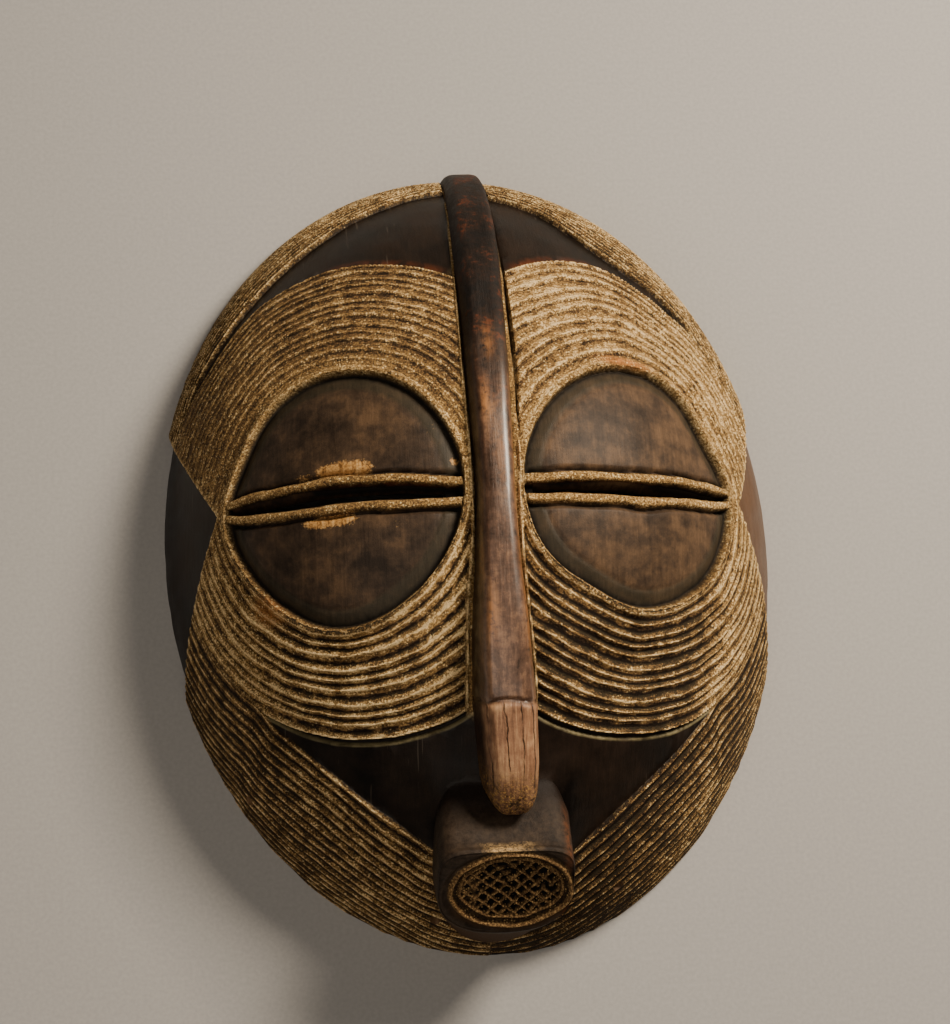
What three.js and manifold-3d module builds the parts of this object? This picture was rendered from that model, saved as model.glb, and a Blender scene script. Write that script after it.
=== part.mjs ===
// Round Luba face mask, carved from one block of wood, lying face up on its back rim.
// Millimetres. Z points out of the face, Y to the crown, X to the viewer's right.
// The back rim lies in z = 0, and the origin is under the middle of the mask's box.
//
// Places on the face are given as (across, along): millimetres measured over the domed
// surface from its top point, across to the viewer's right and along to the crown.

import * as THREE from 'three';
import { mergeVertices } from 'three/addons/utils/BufferGeometryUtils.js';
import Module from 'manifold-3d';

const wasm = await Module();
wasm.setup();

const degree = Math.PI / 180;

// The dome that everything is carved on
const faceHeight = 400;
const faceWidth = 312;
const domeDepth = 130;
const rimSlope = 80 * degree;
const crownFullness = 0.02;
const handSkew = -0.013;
const spanAcross = 220;
const spanAlong = 256;
const wall = 13;
const outerRings = 12;
const outerSegments = 40;
const hollowRings = 7;
const hollowSegments = 26;

// Grooved bands stand on the dome, between a crest height and a valley height
const buried = -6;
const crestHeight = 3.2;
const borderWidth = 4;
const bandGap = 2.4;
const underRidge = 8;

// Eye: the lids are low at the oval's edge and swell towards the bars beside the slit
const lidColumns = 10;
const lidEdge = 0.3;
const lidBulge = 5.5;
const overlap = 1.006;
const barWidth = 5.6;
const barHeight = 2.2;
const slitUndercut = 0.6;

// The two sides differ a little, as the carver left them
const sides = [
  {
    sign: -1,
    eye: { across: 75, along: 3.5, halfWidth: 61, halfHeight: 57 },
    slit: { inner: 24, outer: 127, innerAlong: 1.5, outerAlong: 6.5, halfHeight: 3.6 },
    forehead: { grooves: 12, nearRadius: 123, farRadius: 134 },
    crescent: { nearRadius: 195, farRadius: 195, tipAngle: 30.5 * degree },
    crownGrooves: 9,
    cheekGrooves: 10,
    jawGrooves: 13,
  },
  {
    sign: 1,
    eye: { across: 74, along: 7.5, halfWidth: 58.5, halfHeight: 54.5 },
    slit: { inner: 20, outer: 125, innerAlong: 2, outerAlong: 6, halfHeight: 3.4 },
    forehead: { grooves: 11, nearRadius: 124, farRadius: 113 },
    crescent: { nearRadius: 189, farRadius: 165, tipAngle: 41 * degree },
    crownGrooves: 10,
    cheekGrooves: 11,
    jawGrooves: 12,
  },
];

const cheekRadius = 115;
const cheekPoint = [128, -98];
const jawEnd = [38, -178];
const panelApex = [146, 7];
const panelTop = [208, 84];
const panelBottom = [208, -86];

// Ridge from the crown to the nose: place along the face, half width and height there,
// and how far the carver let it lean to the right
const ridgeStations = [
  { along: 264, half: 11.5, high: 6, aside: 0 },
  { along: 190, half: 12.2, high: 8.5, aside: 0 },
  { along: 110, half: 12.2, high: 11, aside: 0 },
  { along: 43, half: 11.4, high: 12.5, aside: 0 },
  { along: 0, half: 11.6, high: 14, aside: 0 },
  { along: -45, half: 13.4, high: 18, aside: 0.5 },
  { along: -88, half: 15.2, high: 23, aside: 2 },
  { along: -112, half: 14.6, high: 26, aside: 3.2 },
  { along: -134, half: 12.2, high: 26, aside: 3.4 },
];
const noseLine = -88;
const noseTipLength = 13;
const ridgeSteps = 24;

// Muzzle: a wedge under the nose, whose front face carries the mouth
const muzzle = {
  front: [0.5, -181.5, 88.5],
  tilt: 50 * degree,
  halfWidth: 32,
  halfHeight: 25.5,
  topRise: 0.42,
  bottomDrop: 1.2,
};
const muzzleSegments = 24;
const mouth = { halfWidth: 27, halfHeight: 21.5, sunk: 2.2, ribLevel: 0.4, cell: 6.6 };

const rimHoles = [[-155, -150], [-36, -216], [78, -198]];
const rimHoleDiameter = 5;
const rimHoleLength = 44;
const rimHoleSides = 8;

// Finest size kept when the carved pieces are joined
const weld = 0.002;

// A point of the dome, lifted along its own normal
function dome(across, along) {
  const m = across / spanAcross;
  const n = along / spanAlong;
  const reach = Math.max(Math.hypot(m, n), 1e-6);
  const slope = reach * rimSlope;
  const out = Math.sin(slope) / Math.sin(rimSlope) / reach;
  const turn = Math.atan2(n, m);
  const skew = 1 + handSkew * Math.min(reach, 1) ** 2 * Math.sin(2 * turn);
  const drop = (Math.cos(slope) - Math.cos(rimSlope)) / (1 - Math.cos(rimSlope));
  return new THREE.Vector3(
    (faceWidth / 2) * (1 + crownFullness * n) * out * m * skew,
    (faceHeight / 2) * out * n * skew,
    domeDepth * drop,
  );
}

function domeNormal(across, along) {
  const step = 0.05;
  const right = dome(across + step, along).sub(dome(across - step, along));
  const up = dome(across, along + step).sub(dome(across, along - step));
  return right.cross(up).normalize();
}

function onFace([across, along], lift) {
  return dome(across, along).addScaledVector(domeNormal(across, along), lift);
}

const mix = THREE.MathUtils.lerp;
const clamp = THREE.MathUtils.clamp;

function polar([across, along], radius, angle) {
  return [across + radius * Math.cos(angle), along + radius * Math.sin(angle)];
}

// Distance from the top point, along a ray at this angle, to a circle on the face
function rayToCircle(angle, [across, along], radius) {
  const near = across * Math.cos(angle) + along * Math.sin(angle);
  const square = near ** 2 - across ** 2 - along ** 2 + radius ** 2;
  return near + Math.sqrt(Math.max(square, 0));
}

function rayToRim(angle) {
  return 1 / Math.hypot(Math.cos(angle) / spanAcross, Math.sin(angle) / spanAlong);
}

// A smooth line through the stations of a list sorted by its first value, falling
function alongStations(stations, along, key) {
  const last = stations.length - 1;
  let k = 0;
  while (k < last - 1 && along < stations[k + 1].along) k += 1;
  const a = stations[k];
  const b = stations[k + 1];
  const t = clamp((a.along - along) / (a.along - b.along), 0, 1);
  return mix(a[key], b[key], t);
}

function solidFrom(positions, triangles) {
  const geometry = new THREE.BufferGeometry();
  geometry.setAttribute('position', new THREE.Float32BufferAttribute(positions, 3));
  geometry.setIndex(triangles);
  return solidOf(geometry);
}

function solidOf(source) {
  const geometry = source.clone();
  geometry.deleteAttribute('normal');
  geometry.deleteAttribute('uv');
  const merged = mergeVertices(geometry, 1e-4);
  return new wasm.Manifold(new wasm.Mesh({
    numProp: 3,
    vertProperties: new Float32Array(merged.attributes.position.array),
    triVerts: new Uint32Array(merged.index.array),
  }));
}

// A closed slab between two matching sheets of points, sheet[row][column]. Each four-sided
// field is split along one diagonal, or along every other one where chequered is true.
function slab(upper, lower, chequered = false) {
  const rows = upper.length;
  const columns = upper[0].length;
  const points = [...upper.flat(), ...lower.flat()];
  const under = rows * columns;
  const triangles = [];
  const quad = (a, b, c, d) => triangles.push(a, b, c, a, c, d);
  const id = (row, column) => row * columns + column;
  for (let row = 0; row < rows - 1; row += 1) {
    for (let column = 0; column < columns - 1; column += 1) {
      const a = id(row, column);
      const b = id(row, column + 1);
      const c = id(row + 1, column + 1);
      const d = id(row + 1, column);
      const turned = chequered && (row + column) % 2 === 1;
      if (turned) quad(b, c, d, a);
      else quad(a, b, c, d);
      quad(under + d, under + c, under + b, under + a);
    }
  }
  const edge = [];
  for (let column = 0; column < columns - 1; column += 1) edge.push(id(0, column));
  for (let row = 0; row < rows - 1; row += 1) edge.push(id(row, columns - 1));
  for (let column = columns - 1; column > 0; column -= 1) edge.push(id(rows - 1, column));
  for (let row = rows - 1; row > 0; row -= 1) edge.push(id(row, 0));
  edge.forEach((a, k) => {
    const b = edge[(k + 1) % edge.length];
    quad(a, under + a, under + b, b);
  });
  const solid = solidFrom(points.flatMap((p) => [p.x, p.y, p.z]), triangles);
  if (solid.volume() > 0) return solid;
  for (let k = 0; k < triangles.length; k += 3) {
    [triangles[k], triangles[k + 1]] = [triangles[k + 1], triangles[k]];
  }
  return solidFrom(points.flatMap((p) => [p.x, p.y, p.z]), triangles);
}

// A closed skin through rings with the same number of points, capped at both ends
function loft(rings) {
  const count = rings[0].length;
  const points = rings.flat();
  const triangles = [];
  for (let ring = 0; ring < rings.length - 1; ring += 1) {
    for (let k = 0; k < count; k += 1) {
      const a = ring * count + k;
      const b = ring * count + ((k + 1) % count);
      triangles.push(a, b, b + count, a, b + count, a + count);
    }
  }
  const cap = (start, flip) => {
    const middle = new THREE.Vector3();
    for (let k = 0; k < count; k += 1) middle.addScaledVector(points[start + k], 1 / count);
    points.push(middle);
    const hub = points.length - 1;
    for (let k = 0; k < count; k += 1) {
      const a = start + k;
      const b = start + ((k + 1) % count);
      triangles.push(...(flip ? [hub, a, b] : [hub, b, a]));
    }
  };
  cap(0, false);
  cap((rings.length - 1) * count, true);
  const solid = solidFrom(points.flatMap((p) => [p.x, p.y, p.z]), triangles);
  if (solid.volume() > 0) return solid;
  for (let k = 0; k < triangles.length; k += 3) {
    [triangles[k], triangles[k + 1]] = [triangles[k + 1], triangles[k]];
  }
  return solidFrom(points.flatMap((p) => [p.x, p.y, p.z]), triangles);
}

// Dome of the given size, closed below the rim, as rings from the rim to the top
function domeSolid(shrink, ringCount, segments) {
  const scale = new THREE.Vector3(
    1 - shrink / (faceWidth / 2), 1 - shrink / (faceHeight / 2), 1 - shrink / domeDepth);
  const rings = [];
  for (let ring = 0; ring < ringCount; ring += 1) {
    const reach = mix(1.05, 0.02, ring / (ringCount - 1));
    const points = [];
    for (let k = 0; k < segments; k += 1) {
      const angle = (k / segments) * 2 * Math.PI;
      const p = dome(reach * spanAcross * Math.cos(angle), reach * spanAlong * Math.sin(angle));
      points.push(p.multiply(scale));
    }
    rings.push(points);
  }
  return loft(rings);
}

// One grooved band: rows of crests and valleys around a pole, each row with its own ends
function groovedBand(side, band) {
  const rows = [[0, band.crest], [band.border, band.crest]];
  const pitch = (1 - band.border) / band.grooves;
  for (let groove = 0; groove < band.grooves; groove += 1) {
    rows.push([band.border + (groove + 0.5) * pitch, band.valley]);
    rows.push([band.border + (groove + 1) * pitch, band.crest]);
  }
  const sheet = (raised) => rows.map(([fraction, height]) => {
    const radiusAt = (angle) => mix(band.inner(angle), band.outer(angle), fraction);
    const from = follow(band.pole, radiusAt, band.middle, band.first, underTheRidge);
    const to = follow(band.pole, radiusAt, band.middle, band.last, insidePanel);
    const line = [];
    for (let step = 0; step <= band.steps; step += 1) {
      const angle = mix(from, to, step / band.steps);
      const [across, along] = polar(band.pole, radiusAt(angle), angle);
      line.push(onFace([side.sign * across, along], raised ? height : buried));
    }
    return line;
  });
  return slab(sheet(true), sheet(false));
}

function eyeRadius(eye, angle) {
  return 1 / Math.hypot(Math.cos(angle) / eye.halfWidth, Math.sin(angle) / eye.halfHeight);
}

function foreheadRadius(side, angle) {
  const t = clamp((120 * degree - angle) / (60 * degree), 0, 1);
  return mix(side.forehead.nearRadius, side.forehead.farRadius, t);
}

// Lower edge of the crown band: the top of the dark crescent, then the last forehead groove
function crescentRadius(side, angle) {
  const { nearRadius, farRadius, tipAngle } = side.crescent;
  if (angle < tipAngle) {
    return rayToCircle(angle, eyePole(side), side.forehead.farRadius) + bandGap;
  }
  const t = clamp((90 * degree - angle) / (90 * degree - tipAngle), 0, 1);
  return mix(nearRadius, farRadius, t);
}

// Upper edge of the jaw band: beside the last cheek groove, then straight to the muzzle
function jawRadius(side, angle) {
  const pointAngle = Math.atan2(cheekPoint[1], cheekPoint[0]);
  const endAngle = Math.atan2(jawEnd[1], jawEnd[0]);
  if (angle > pointAngle) return rayToCircle(angle, eyePole(side), cheekRadius) + bandGap;
  const bound = Math.max(angle, endAngle);
  const dx = jawEnd[0] - cheekPoint[0];
  const dy = jawEnd[1] - cheekPoint[1];
  const cross = cheekPoint[0] * dy - cheekPoint[1] * dx;
  return cross / (Math.cos(bound) * dy - Math.sin(bound) * dx);
}

function eyePole(side) {
  return [side.eye.across, side.eye.along];
}

function underTheRidge([across]) {
  return across < underRidge;
}

function insidePanel([across, along]) {
  const corner = along > panelApex[1] ? panelTop : panelBottom;
  const run = (across - panelApex[0]) / (corner[0] - panelApex[0]);
  const rise = (along - panelApex[1]) / (corner[1] - panelApex[1]);
  return run > rise;
}

// The angle at which a row, followed from its middle, first meets what ends it
function follow(pole, radiusAt, middle, last, isEnd) {
  const steps = 400;
  for (let step = 0; step < steps; step += 1) {
    const angle = mix(middle, last, step / steps);
    if (isEnd(polar(pole, radiusAt(angle), angle))) return angle;
  }
  return last;
}

function bandsOf(side) {
  const border = (depth) => borderWidth / depth;
  const foreheadDepth = side.forehead.nearRadius - side.eye.halfHeight;
  const cheekDepth = cheekRadius - side.eye.halfHeight;
  const pastRim = (angle) => rayToRim(angle) * 1.03;
  return [
    {
      pole: eyePole(side), steps: 12, grooves: side.forehead.grooves,
      inner: (angle) => eyeRadius(side.eye, angle),
      outer: (angle) => foreheadRadius(side, angle),
      middle: 90 * degree, first: 183 * degree, last: -1 * degree,
      border: border(foreheadDepth), crest: crestHeight, valley: 1.5,
    },
    {
      pole: eyePole(side), steps: 11, grooves: side.cheekGrooves,
      inner: (angle) => eyeRadius(side.eye, angle),
      outer: () => cheekRadius,
      middle: -90 * degree, first: -183 * degree, last: 1 * degree,
      border: border(cheekDepth), crest: crestHeight, valley: 1.2,
    },
    {
      pole: [0, 0], steps: 8, grooves: side.jawGrooves,
      inner: (angle) => jawRadius(side, angle),
      outer: pastRim,
      middle: -60 * degree, first: -88 * degree, last: -12 * degree,
      border: 0.02, crest: crestHeight, valley: 1.4,
    },
    {
      pole: [0, 0], steps: 7, grooves: side.crownGrooves,
      inner: (angle) => crescentRadius(side, angle),
      outer: pastRim,
      middle: 60 * degree, first: 87.5 * degree, last: 14 * degree,
      border: 0.03, crest: crestHeight, valley: 1.4,
    },
  ].map((band) => groovedBand(side, band));
}

// The eye: two domed lids and the bars beside the slit, as one sheet of rows across the face
function eyeSheet(side, raised) {
  const { across, along, halfWidth, halfHeight } = side.eye;
  const gap = side.slit.halfHeight - slitUndercut;
  const sheet = [];
  for (let row = 0; row <= lidColumns; row += 1) {
    const s = -Math.cos((Math.PI * (row + 0.5)) / (lidColumns + 1));
    const u = across + s * halfWidth * overlap;
    const half = halfHeight * overlap * Math.sqrt(1 - s * s);
    const slitLine = slitAlong(side, u) - along;
    const barEdge = Math.min(gap + barWidth, 0.72 * half);
    const lid = (v) => lidLift(Math.min(Math.hypot(s, v / halfHeight), 1));
    const bar = Math.max(lid(0), lidEdge + 1) + barHeight;
    const upper = slitLine + barEdge;
    const lower = slitLine - barEdge;
    const points = [
      [-half, lid(half)],
      [mix(-half, lower, 0.35), lid(mix(-half, lower, 0.35))],
      [lower - 0.6, lid(lower)],
      [lower, bar],
      [slitLine, bar],
      [upper, bar],
      [upper + 0.6, lid(upper)],
      [mix(half, upper, 0.35), lid(mix(half, upper, 0.35))],
      [half, lid(half)],
    ];
    sheet.push(points.map(([v, lift]) => onFace([side.sign * u, along + v], raised ? lift : buried)));
  }
  return sheet;
}

function lidLift(reach) {
  return lidEdge + lidBulge * Math.max(1 - reach * reach, 0) ** 0.6;
}

function slitAlong(side, across) {
  const { inner, outer, innerAlong, outerAlong } = side.slit;
  return mix(innerAlong, outerAlong, (across - inner) / (outer - inner));
}

function slitCut(side) {
  const { inner, outer, halfHeight } = side.slit;
  const sheet = (height) => [-1, 1].map((direction) => {
    const line = [];
    for (let step = 0; step <= 6; step += 1) {
      const t = step / 6;
      const u = mix(inner, outer, t);
      const half = halfHeight * Math.min(1, 0.8 + 2 * t) * mix(1, 0.6, Math.max(t - 0.75, 0) * 4);
      const p = onFace([side.sign * u, slitAlong(side, u) + direction * half], 5);
      line.push(p.setZ(height));
    }
    return line;
  });
  return slab(sheet(220), sheet(-20));
}

// Ridge and nose: one bar of rounded section, round at the tip, with a line cut across it
function ridgeAndNose() {
  const section = (along, half, high, sunk) => [
    [-1, 0], [-1, 0.4], [-0.82, 0.82], [-0.4, 1], [0.4, 1], [0.82, 0.82], [1, 0.4], [1, 0],
  ].map(([side, up]) => {
    const narrow = 1 - 0.14 * up;
    const aside = alongStations(ridgeStations, along, 'aside');
    return onFace([0, along], mix(sunk, high, up)).setX(side * narrow * half + aside);
  });
  const rings = [];
  const tipStart = ridgeStations.at(-1).along + noseTipLength;
  for (let step = 0; step <= ridgeSteps; step += 1) {
    const along = mix(ridgeStations[0].along, tipStart, step / ridgeSteps);
    if (Math.abs(along - noseLine) > 3) {
      const half = alongStations(ridgeStations, along, 'half');
      rings.push([along, half, alongStations(ridgeStations, along, 'high')]);
    }
  }
  [[1.6, 0], [0.4, -1.8], [-0.8, -1.8], [-2, -0.4]].forEach(([away, lower]) => {
    const along = noseLine + away;
    const half = alongStations(ridgeStations, along, 'half') + lower * 0.6;
    rings.push([along, half, alongStations(ridgeStations, along, 'high') + lower]);
  });
  for (let step = 1; step <= 5; step += 1) {
    const t = step / 5;
    const along = tipStart - noseTipLength * t;
    const round = Math.sqrt(1 - 0.96 * t * t);
    const half = alongStations(ridgeStations, along, 'half') * mix(0.35, 1, round);
    rings.push([along, half, alongStations(ridgeStations, along, 'high') * mix(0.8, 1, round)]);
  }
  rings.sort((a, b) => b[0] - a[0]);
  return loft(rings.map(([along, half, high]) => section(along, half, high, buried + 1)));
}

// Frame on the muzzle's front face: right is X, up is along the face, out is away from it
function muzzlePoint(right, up, out) {
  const tilt = muzzle.tilt;
  return new THREE.Vector3(
    muzzle.front[0] + right,
    muzzle.front[1] + up * Math.cos(tilt) - out * Math.sin(tilt),
    muzzle.front[2] + up * Math.sin(tilt) + out * Math.cos(tilt),
  );
}

function ovalRing(halfWidth, halfHeight, out, count) {
  const ring = [];
  for (let k = 0; k < count; k += 1) {
    const angle = (k / count) * 2 * Math.PI;
    ring.push(muzzlePoint(halfWidth * Math.cos(angle), halfHeight * Math.sin(angle), out));
  }
  return ring;
}

function muzzleBlock() {
  const count = muzzleSegments;
  const rings = [[0, 0.97], [1.5, 1], [10, 1], [24, 1], [38, 0.98], [58, 0.9]].map(([depth, size]) => {
    const ring = [];
    for (let k = 0; k < count; k += 1) {
      const angle = (k / count) * 2 * Math.PI;
      const c = Math.cos(angle);
      const s = Math.sin(angle);
      const boxy = s > 0 ? 0.4 : 0.85;
      const grown = s > 0 ? muzzle.topRise * depth : muzzle.bottomDrop * depth;
      const right = muzzle.halfWidth * size * Math.sign(c) * Math.abs(c) ** boxy;
      const up = (muzzle.halfHeight * size + grown) * Math.sign(s) * Math.abs(s) ** boxy;
      ring.push(muzzlePoint(right, up, -depth));
    }
    return ring;
  });
  return loft(rings);
}

// The mouth's lattice: ribs that cross on the slant, with a pit in each field
function mouthLattice() {
  const half = mouth.cell * Math.SQRT1_2;
  const across = Math.ceil(mouth.halfWidth / half) + 1;
  const up = Math.ceil(mouth.halfHeight / half) + 1;
  const sheet = (raised) => {
    const rows = [];
    for (let i = -across; i <= across; i += 1) {
      const row = [];
      for (let j = -up; j <= up; j += 1) {
        const pit = (i + across + j + up) % 2 === 1;
        row.push(muzzlePoint(i * half, j * half, raised ? (pit ? -mouth.sunk : -mouth.ribLevel) : -8));
      }
      rows.push(row);
    }
    return rows;
  };
  const oval = loft([
    ovalRing(mouth.halfWidth + 0.6, mouth.halfHeight + 0.6, -10, muzzleSegments),
    ovalRing(mouth.halfWidth + 0.6, mouth.halfHeight + 0.6, 4, muzzleSegments),
  ]);
  return slab(sheet(true), sheet(false), true).intersect(oval);
}

function mouthPocket() {
  return loft([
    ovalRing(mouth.halfWidth, mouth.halfHeight, -mouth.sunk - 0.6, muzzleSegments),
    ovalRing(mouth.halfWidth + 1.2, mouth.halfHeight + 1.2, 3, muzzleSegments),
  ]);
}

function rimHole(place) {
  const radius = rimHoleDiameter / 2;
  const geometry = new THREE.CylinderGeometry(radius, radius, rimHoleLength, rimHoleSides);
  const out = domeNormal(...place);
  const turn = new THREE.Quaternion().setFromUnitVectors(new THREE.Vector3(0, 1, 0), out);
  const middle = onFace(place, -8);
  geometry.applyQuaternion(turn);
  geometry.translate(middle.x, middle.y, middle.z);
  return solidOf(geometry);
}

function aboveRimPlane() {
  const geometry = new THREE.BoxGeometry(600, 600, 300);
  geometry.translate(0, 0, 150);
  return solidOf(geometry);
}

function maskGeometry() {
  let mask = domeSolid(0, outerRings, outerSegments);
  sides.forEach((side) => {
    bandsOf(side).forEach((band) => {
      mask = mask.add(band);
    });
    mask = mask.add(slab(eyeSheet(side, true), eyeSheet(side, false)));
  });
  mask = mask.add(ridgeAndNose()).add(muzzleBlock());
  mask = mask.subtract(mouthPocket()).add(mouthLattice());
  mask = mask.subtract(domeSolid(wall, hollowRings, hollowSegments));
  sides.forEach((side) => {
    mask = mask.subtract(slitCut(side));
  });
  rimHoles.forEach((place) => {
    mask = mask.subtract(rimHole(place));
  });
  mask = mask.intersect(aboveRimPlane());
  const { vertProperties, triVerts } = mask.getMesh();
  const joined = new THREE.BufferGeometry();
  joined.setAttribute('position', new THREE.BufferAttribute(vertProperties, 3));
  joined.setIndex(new THREE.BufferAttribute(triVerts, 1));
  const geometry = mergeVertices(joined, weld);
  geometry.computeBoundingBox();
  const middle = geometry.boundingBox.getCenter(new THREE.Vector3());
  geometry.translate(-middle.x, -middle.y, -geometry.boundingBox.min.z);
  return geometry;
}

const darkWood = new THREE.MeshStandardMaterial({ color: 0x3a2a20, roughness: 0.5, metalness: 0 });
const mask = new THREE.Mesh(maskGeometry(), darkWood);
mask.name = 'mask';

const group = new THREE.Group();
group.add(mask);

export default group;
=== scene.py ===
import math
from functools import partial

import bmesh
import bpy
import numpy as np
from mathutils import Matrix, Vector


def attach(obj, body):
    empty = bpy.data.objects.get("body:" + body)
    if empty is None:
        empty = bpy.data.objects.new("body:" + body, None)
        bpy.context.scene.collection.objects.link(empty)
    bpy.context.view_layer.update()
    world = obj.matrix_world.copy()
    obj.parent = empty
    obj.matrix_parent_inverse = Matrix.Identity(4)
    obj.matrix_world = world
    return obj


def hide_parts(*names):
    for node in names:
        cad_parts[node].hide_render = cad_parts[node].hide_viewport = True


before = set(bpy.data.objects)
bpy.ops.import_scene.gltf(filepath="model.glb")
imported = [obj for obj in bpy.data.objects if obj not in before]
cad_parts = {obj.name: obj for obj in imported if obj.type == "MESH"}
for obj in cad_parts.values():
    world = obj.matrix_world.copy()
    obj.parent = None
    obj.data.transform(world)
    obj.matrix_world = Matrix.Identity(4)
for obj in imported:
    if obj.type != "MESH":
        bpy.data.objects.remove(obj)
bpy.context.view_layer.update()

mm = 0.001
degree = math.pi / 180
gridStep = 0.8
triangleTarget = 186000


def step(low, high, x):
    t = np.clip((x - low) / (high - low), 0, 1)
    return t * t * (3 - 2 * t)


def mix(a, b, t):
    return a + (b - a) * t


def softNoise(x, y, size, seed):  # smooth seeded bumps from 0 to 1, about size apart
    table = np.random.default_rng(seed).random((128, 128))
    x, y = x / size + 400, y / size + 400
    i, j = np.floor(x).astype(int), np.floor(y).astype(int)
    s, t = step(0, 1, x - i), step(0, 1, y - j)
    i, j = i % 127, j % 127
    low = mix(table[i, j], table[i + 1, j], s)
    high = mix(table[i, j + 1], table[i + 1, j + 1], s)
    return mix(low, high, t)


def tableValue(table, x, column=1):
    table = np.array(table, float)
    return np.interp(x, table[:, 0], table[:, column])


def roundValue(table, turn):  # smooth value round a full turn, from evenly spaced measures
    table = np.array(table)
    place = turn / (2 * math.pi) * len(table)
    k = np.floor(place).astype(int)
    t = place - k
    a, b, c, d = (table[(k + j) % len(table)] for j in (-1, 0, 1, 2))
    return b + 0.5 * t * (c - a + t * (2 * a - 5 * b + 4 * c - d + t * (3 * (b - c) + d - a)))


# The face is measured over the dome: across to the viewer's right, along to the crown, in mm
dome = {
    "width": 312.0,
    "height": 400.0,
    "depth": 130.0,
    "rimSlope": 80 * degree,
    "crownFullness": 0.02,
    "handSkew": -0.013,
    "spanAcross": 220.0,  # top point to rim, over the surface
    "spanAlong": 256.0,
    "pastRim": 1.06,  # how far the carving runs on, to be cut off in the rim's plane
    "wall": 13.0,
    "middle": 1.4854,  # the frame's origin lies this far towards the crown
}


def domePoint(u, v):
    m, n = u / dome["spanAcross"], v / dome["spanAlong"]
    reach = np.maximum(np.hypot(m, n), 1e-6)
    slope = reach * dome["rimSlope"]
    out = np.sin(slope) / math.sin(dome["rimSlope"]) / reach
    turn = np.arctan2(n, m)
    skew = 1 + dome["handSkew"] * np.minimum(reach, 1) ** 2 * np.sin(2 * turn)
    floor = math.cos(dome["rimSlope"])
    return np.stack([
        dome["width"] / 2 * (1 + dome["crownFullness"] * n) * out * m * skew,
        dome["height"] / 2 * out * n * skew - dome["middle"],
        dome["depth"] * (np.cos(slope) - floor) / (1 - floor),
    ], -1)


def domeNormal(u, v):
    tiny = 0.05
    right = domePoint(u + tiny, v) - domePoint(u - tiny, v)
    up = domePoint(u, v + tiny) - domePoint(u, v - tiny)
    out = np.cross(right, up)
    return out / np.linalg.norm(out, axis=-1, keepdims=True)


def onFace(u, v, lift):
    return domePoint(u, v) + domeNormal(u, v) * np.asarray(lift)[..., None]


def placeOnFace(points):  # where points lie over the dome: across, along and lift
    floor = math.cos(dome["rimSlope"])
    x = points[:, 0] / (dome["width"] / 2) * math.sin(dome["rimSlope"])
    y = (points[:, 1] + dome["middle"]) / (dome["height"] / 2) * math.sin(dome["rimSlope"])
    z = points[:, 2] / dome["depth"] * (1 - floor) + floor
    reach = np.arctan2(np.hypot(x, y), z) / dome["rimSlope"]
    turn = np.arctan2(y, x)
    u = dome["spanAcross"] * reach * np.cos(turn)
    v = dome["spanAlong"] * reach * np.sin(turn)
    for _ in range(7):
        tiny = 0.1
        right = (domePoint(u + tiny, v) - domePoint(u - tiny, v)) / (2 * tiny)
        up = (domePoint(u, v + tiny) - domePoint(u, v - tiny)) / (2 * tiny)
        out = np.cross(right, up)
        out /= np.linalg.norm(out, axis=-1, keepdims=True)
        away = points - domePoint(u, v)
        lift = (away * out).sum(-1)
        away = away - out * lift[:, None]
        rr, ru, uu = (right * right).sum(-1), (right * up).sum(-1), (up * up).sum(-1)
        ar, au = (away * right).sum(-1), (away * up).sum(-1)
        spread = rr * uu - ru * ru
        u = u + np.clip((ar * uu - au * ru) / spread, -20, 20)
        v = v + np.clip((au * rr - ar * ru) / spread, -20, 20)
    return u, v, lift


# Ridge from the crown to the nose tip
ridge = {
    "stations": (  # along, half width, height, lean to the right
        (264, 11.0, 6, 2.4), (190, 11.4, 8.5, 1.6), (110, 11.7, 11, 0.3), (43, 10.7, 12.5, 0),
        (0, 9.7, 14, 0.2), (-30, 11.1, 16.5, 0), (-60, 13.6, 19.5, 0.3), (-88, 15.2, 23, 1.5),
        (-112, 14.4, 26, 2.9), (-134, 13.0, 26, 3.4),
    ),
    "section": (  # from the left foot to the right: side, up
        (-1.0, 0.0), (-0.96, 0.3), (-0.85, 0.62), (-0.66, 0.88), (-0.5, 0.97), (-0.2, 1.0),
        (0.5, 1.0), (0.76, 0.95), (0.9, 0.78), (0.96, 0.5), (0.985, 0.3), (1.0, 0.0),
    ),
    "noseLine": -85.0,
    "lineBend": 2.6,  # its ends turn down
    "lineDepth": 1.5,
    "tipLength": 13.0,
    "sunk": -5.0,
}


def ridgeAt(along, column):
    return tableValue(ridge["stations"][::-1], along, column)


# Muzzle: a wedge under the nose; its front leans back and carries the mouth
muzzle = {
    "front": (0.5, -181.5, 88.5),
    "tilt": 50 * degree,
    "halfWidth": 32.0,
    "halfHeight": 25.5,
    "topRise": 0.42,
    "topFlare": 0.018,
    "bottomDrop": 1.2,
    "hollowTop": 2.2,
    "apron": 2.6,
    "mouthMiddle": (2.6, 0.8),
    "outerRing": (28.4, 22.4),
    "innerRing": (24.2, 18.2),
    "cell": 5.1,
    "pit": 2.6,
}


def muzzlePlace(points):  # across, up and out from the muzzle's front
    front, tilt = muzzle["front"], muzzle["tilt"]
    x = points[..., 0] - front[0]
    y, z = points[..., 1] + dome["middle"] - front[1], points[..., 2] - front[2]
    return x, y * math.cos(tilt) + z * math.sin(tilt), z * math.cos(tilt) - y * math.sin(tilt)


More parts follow.
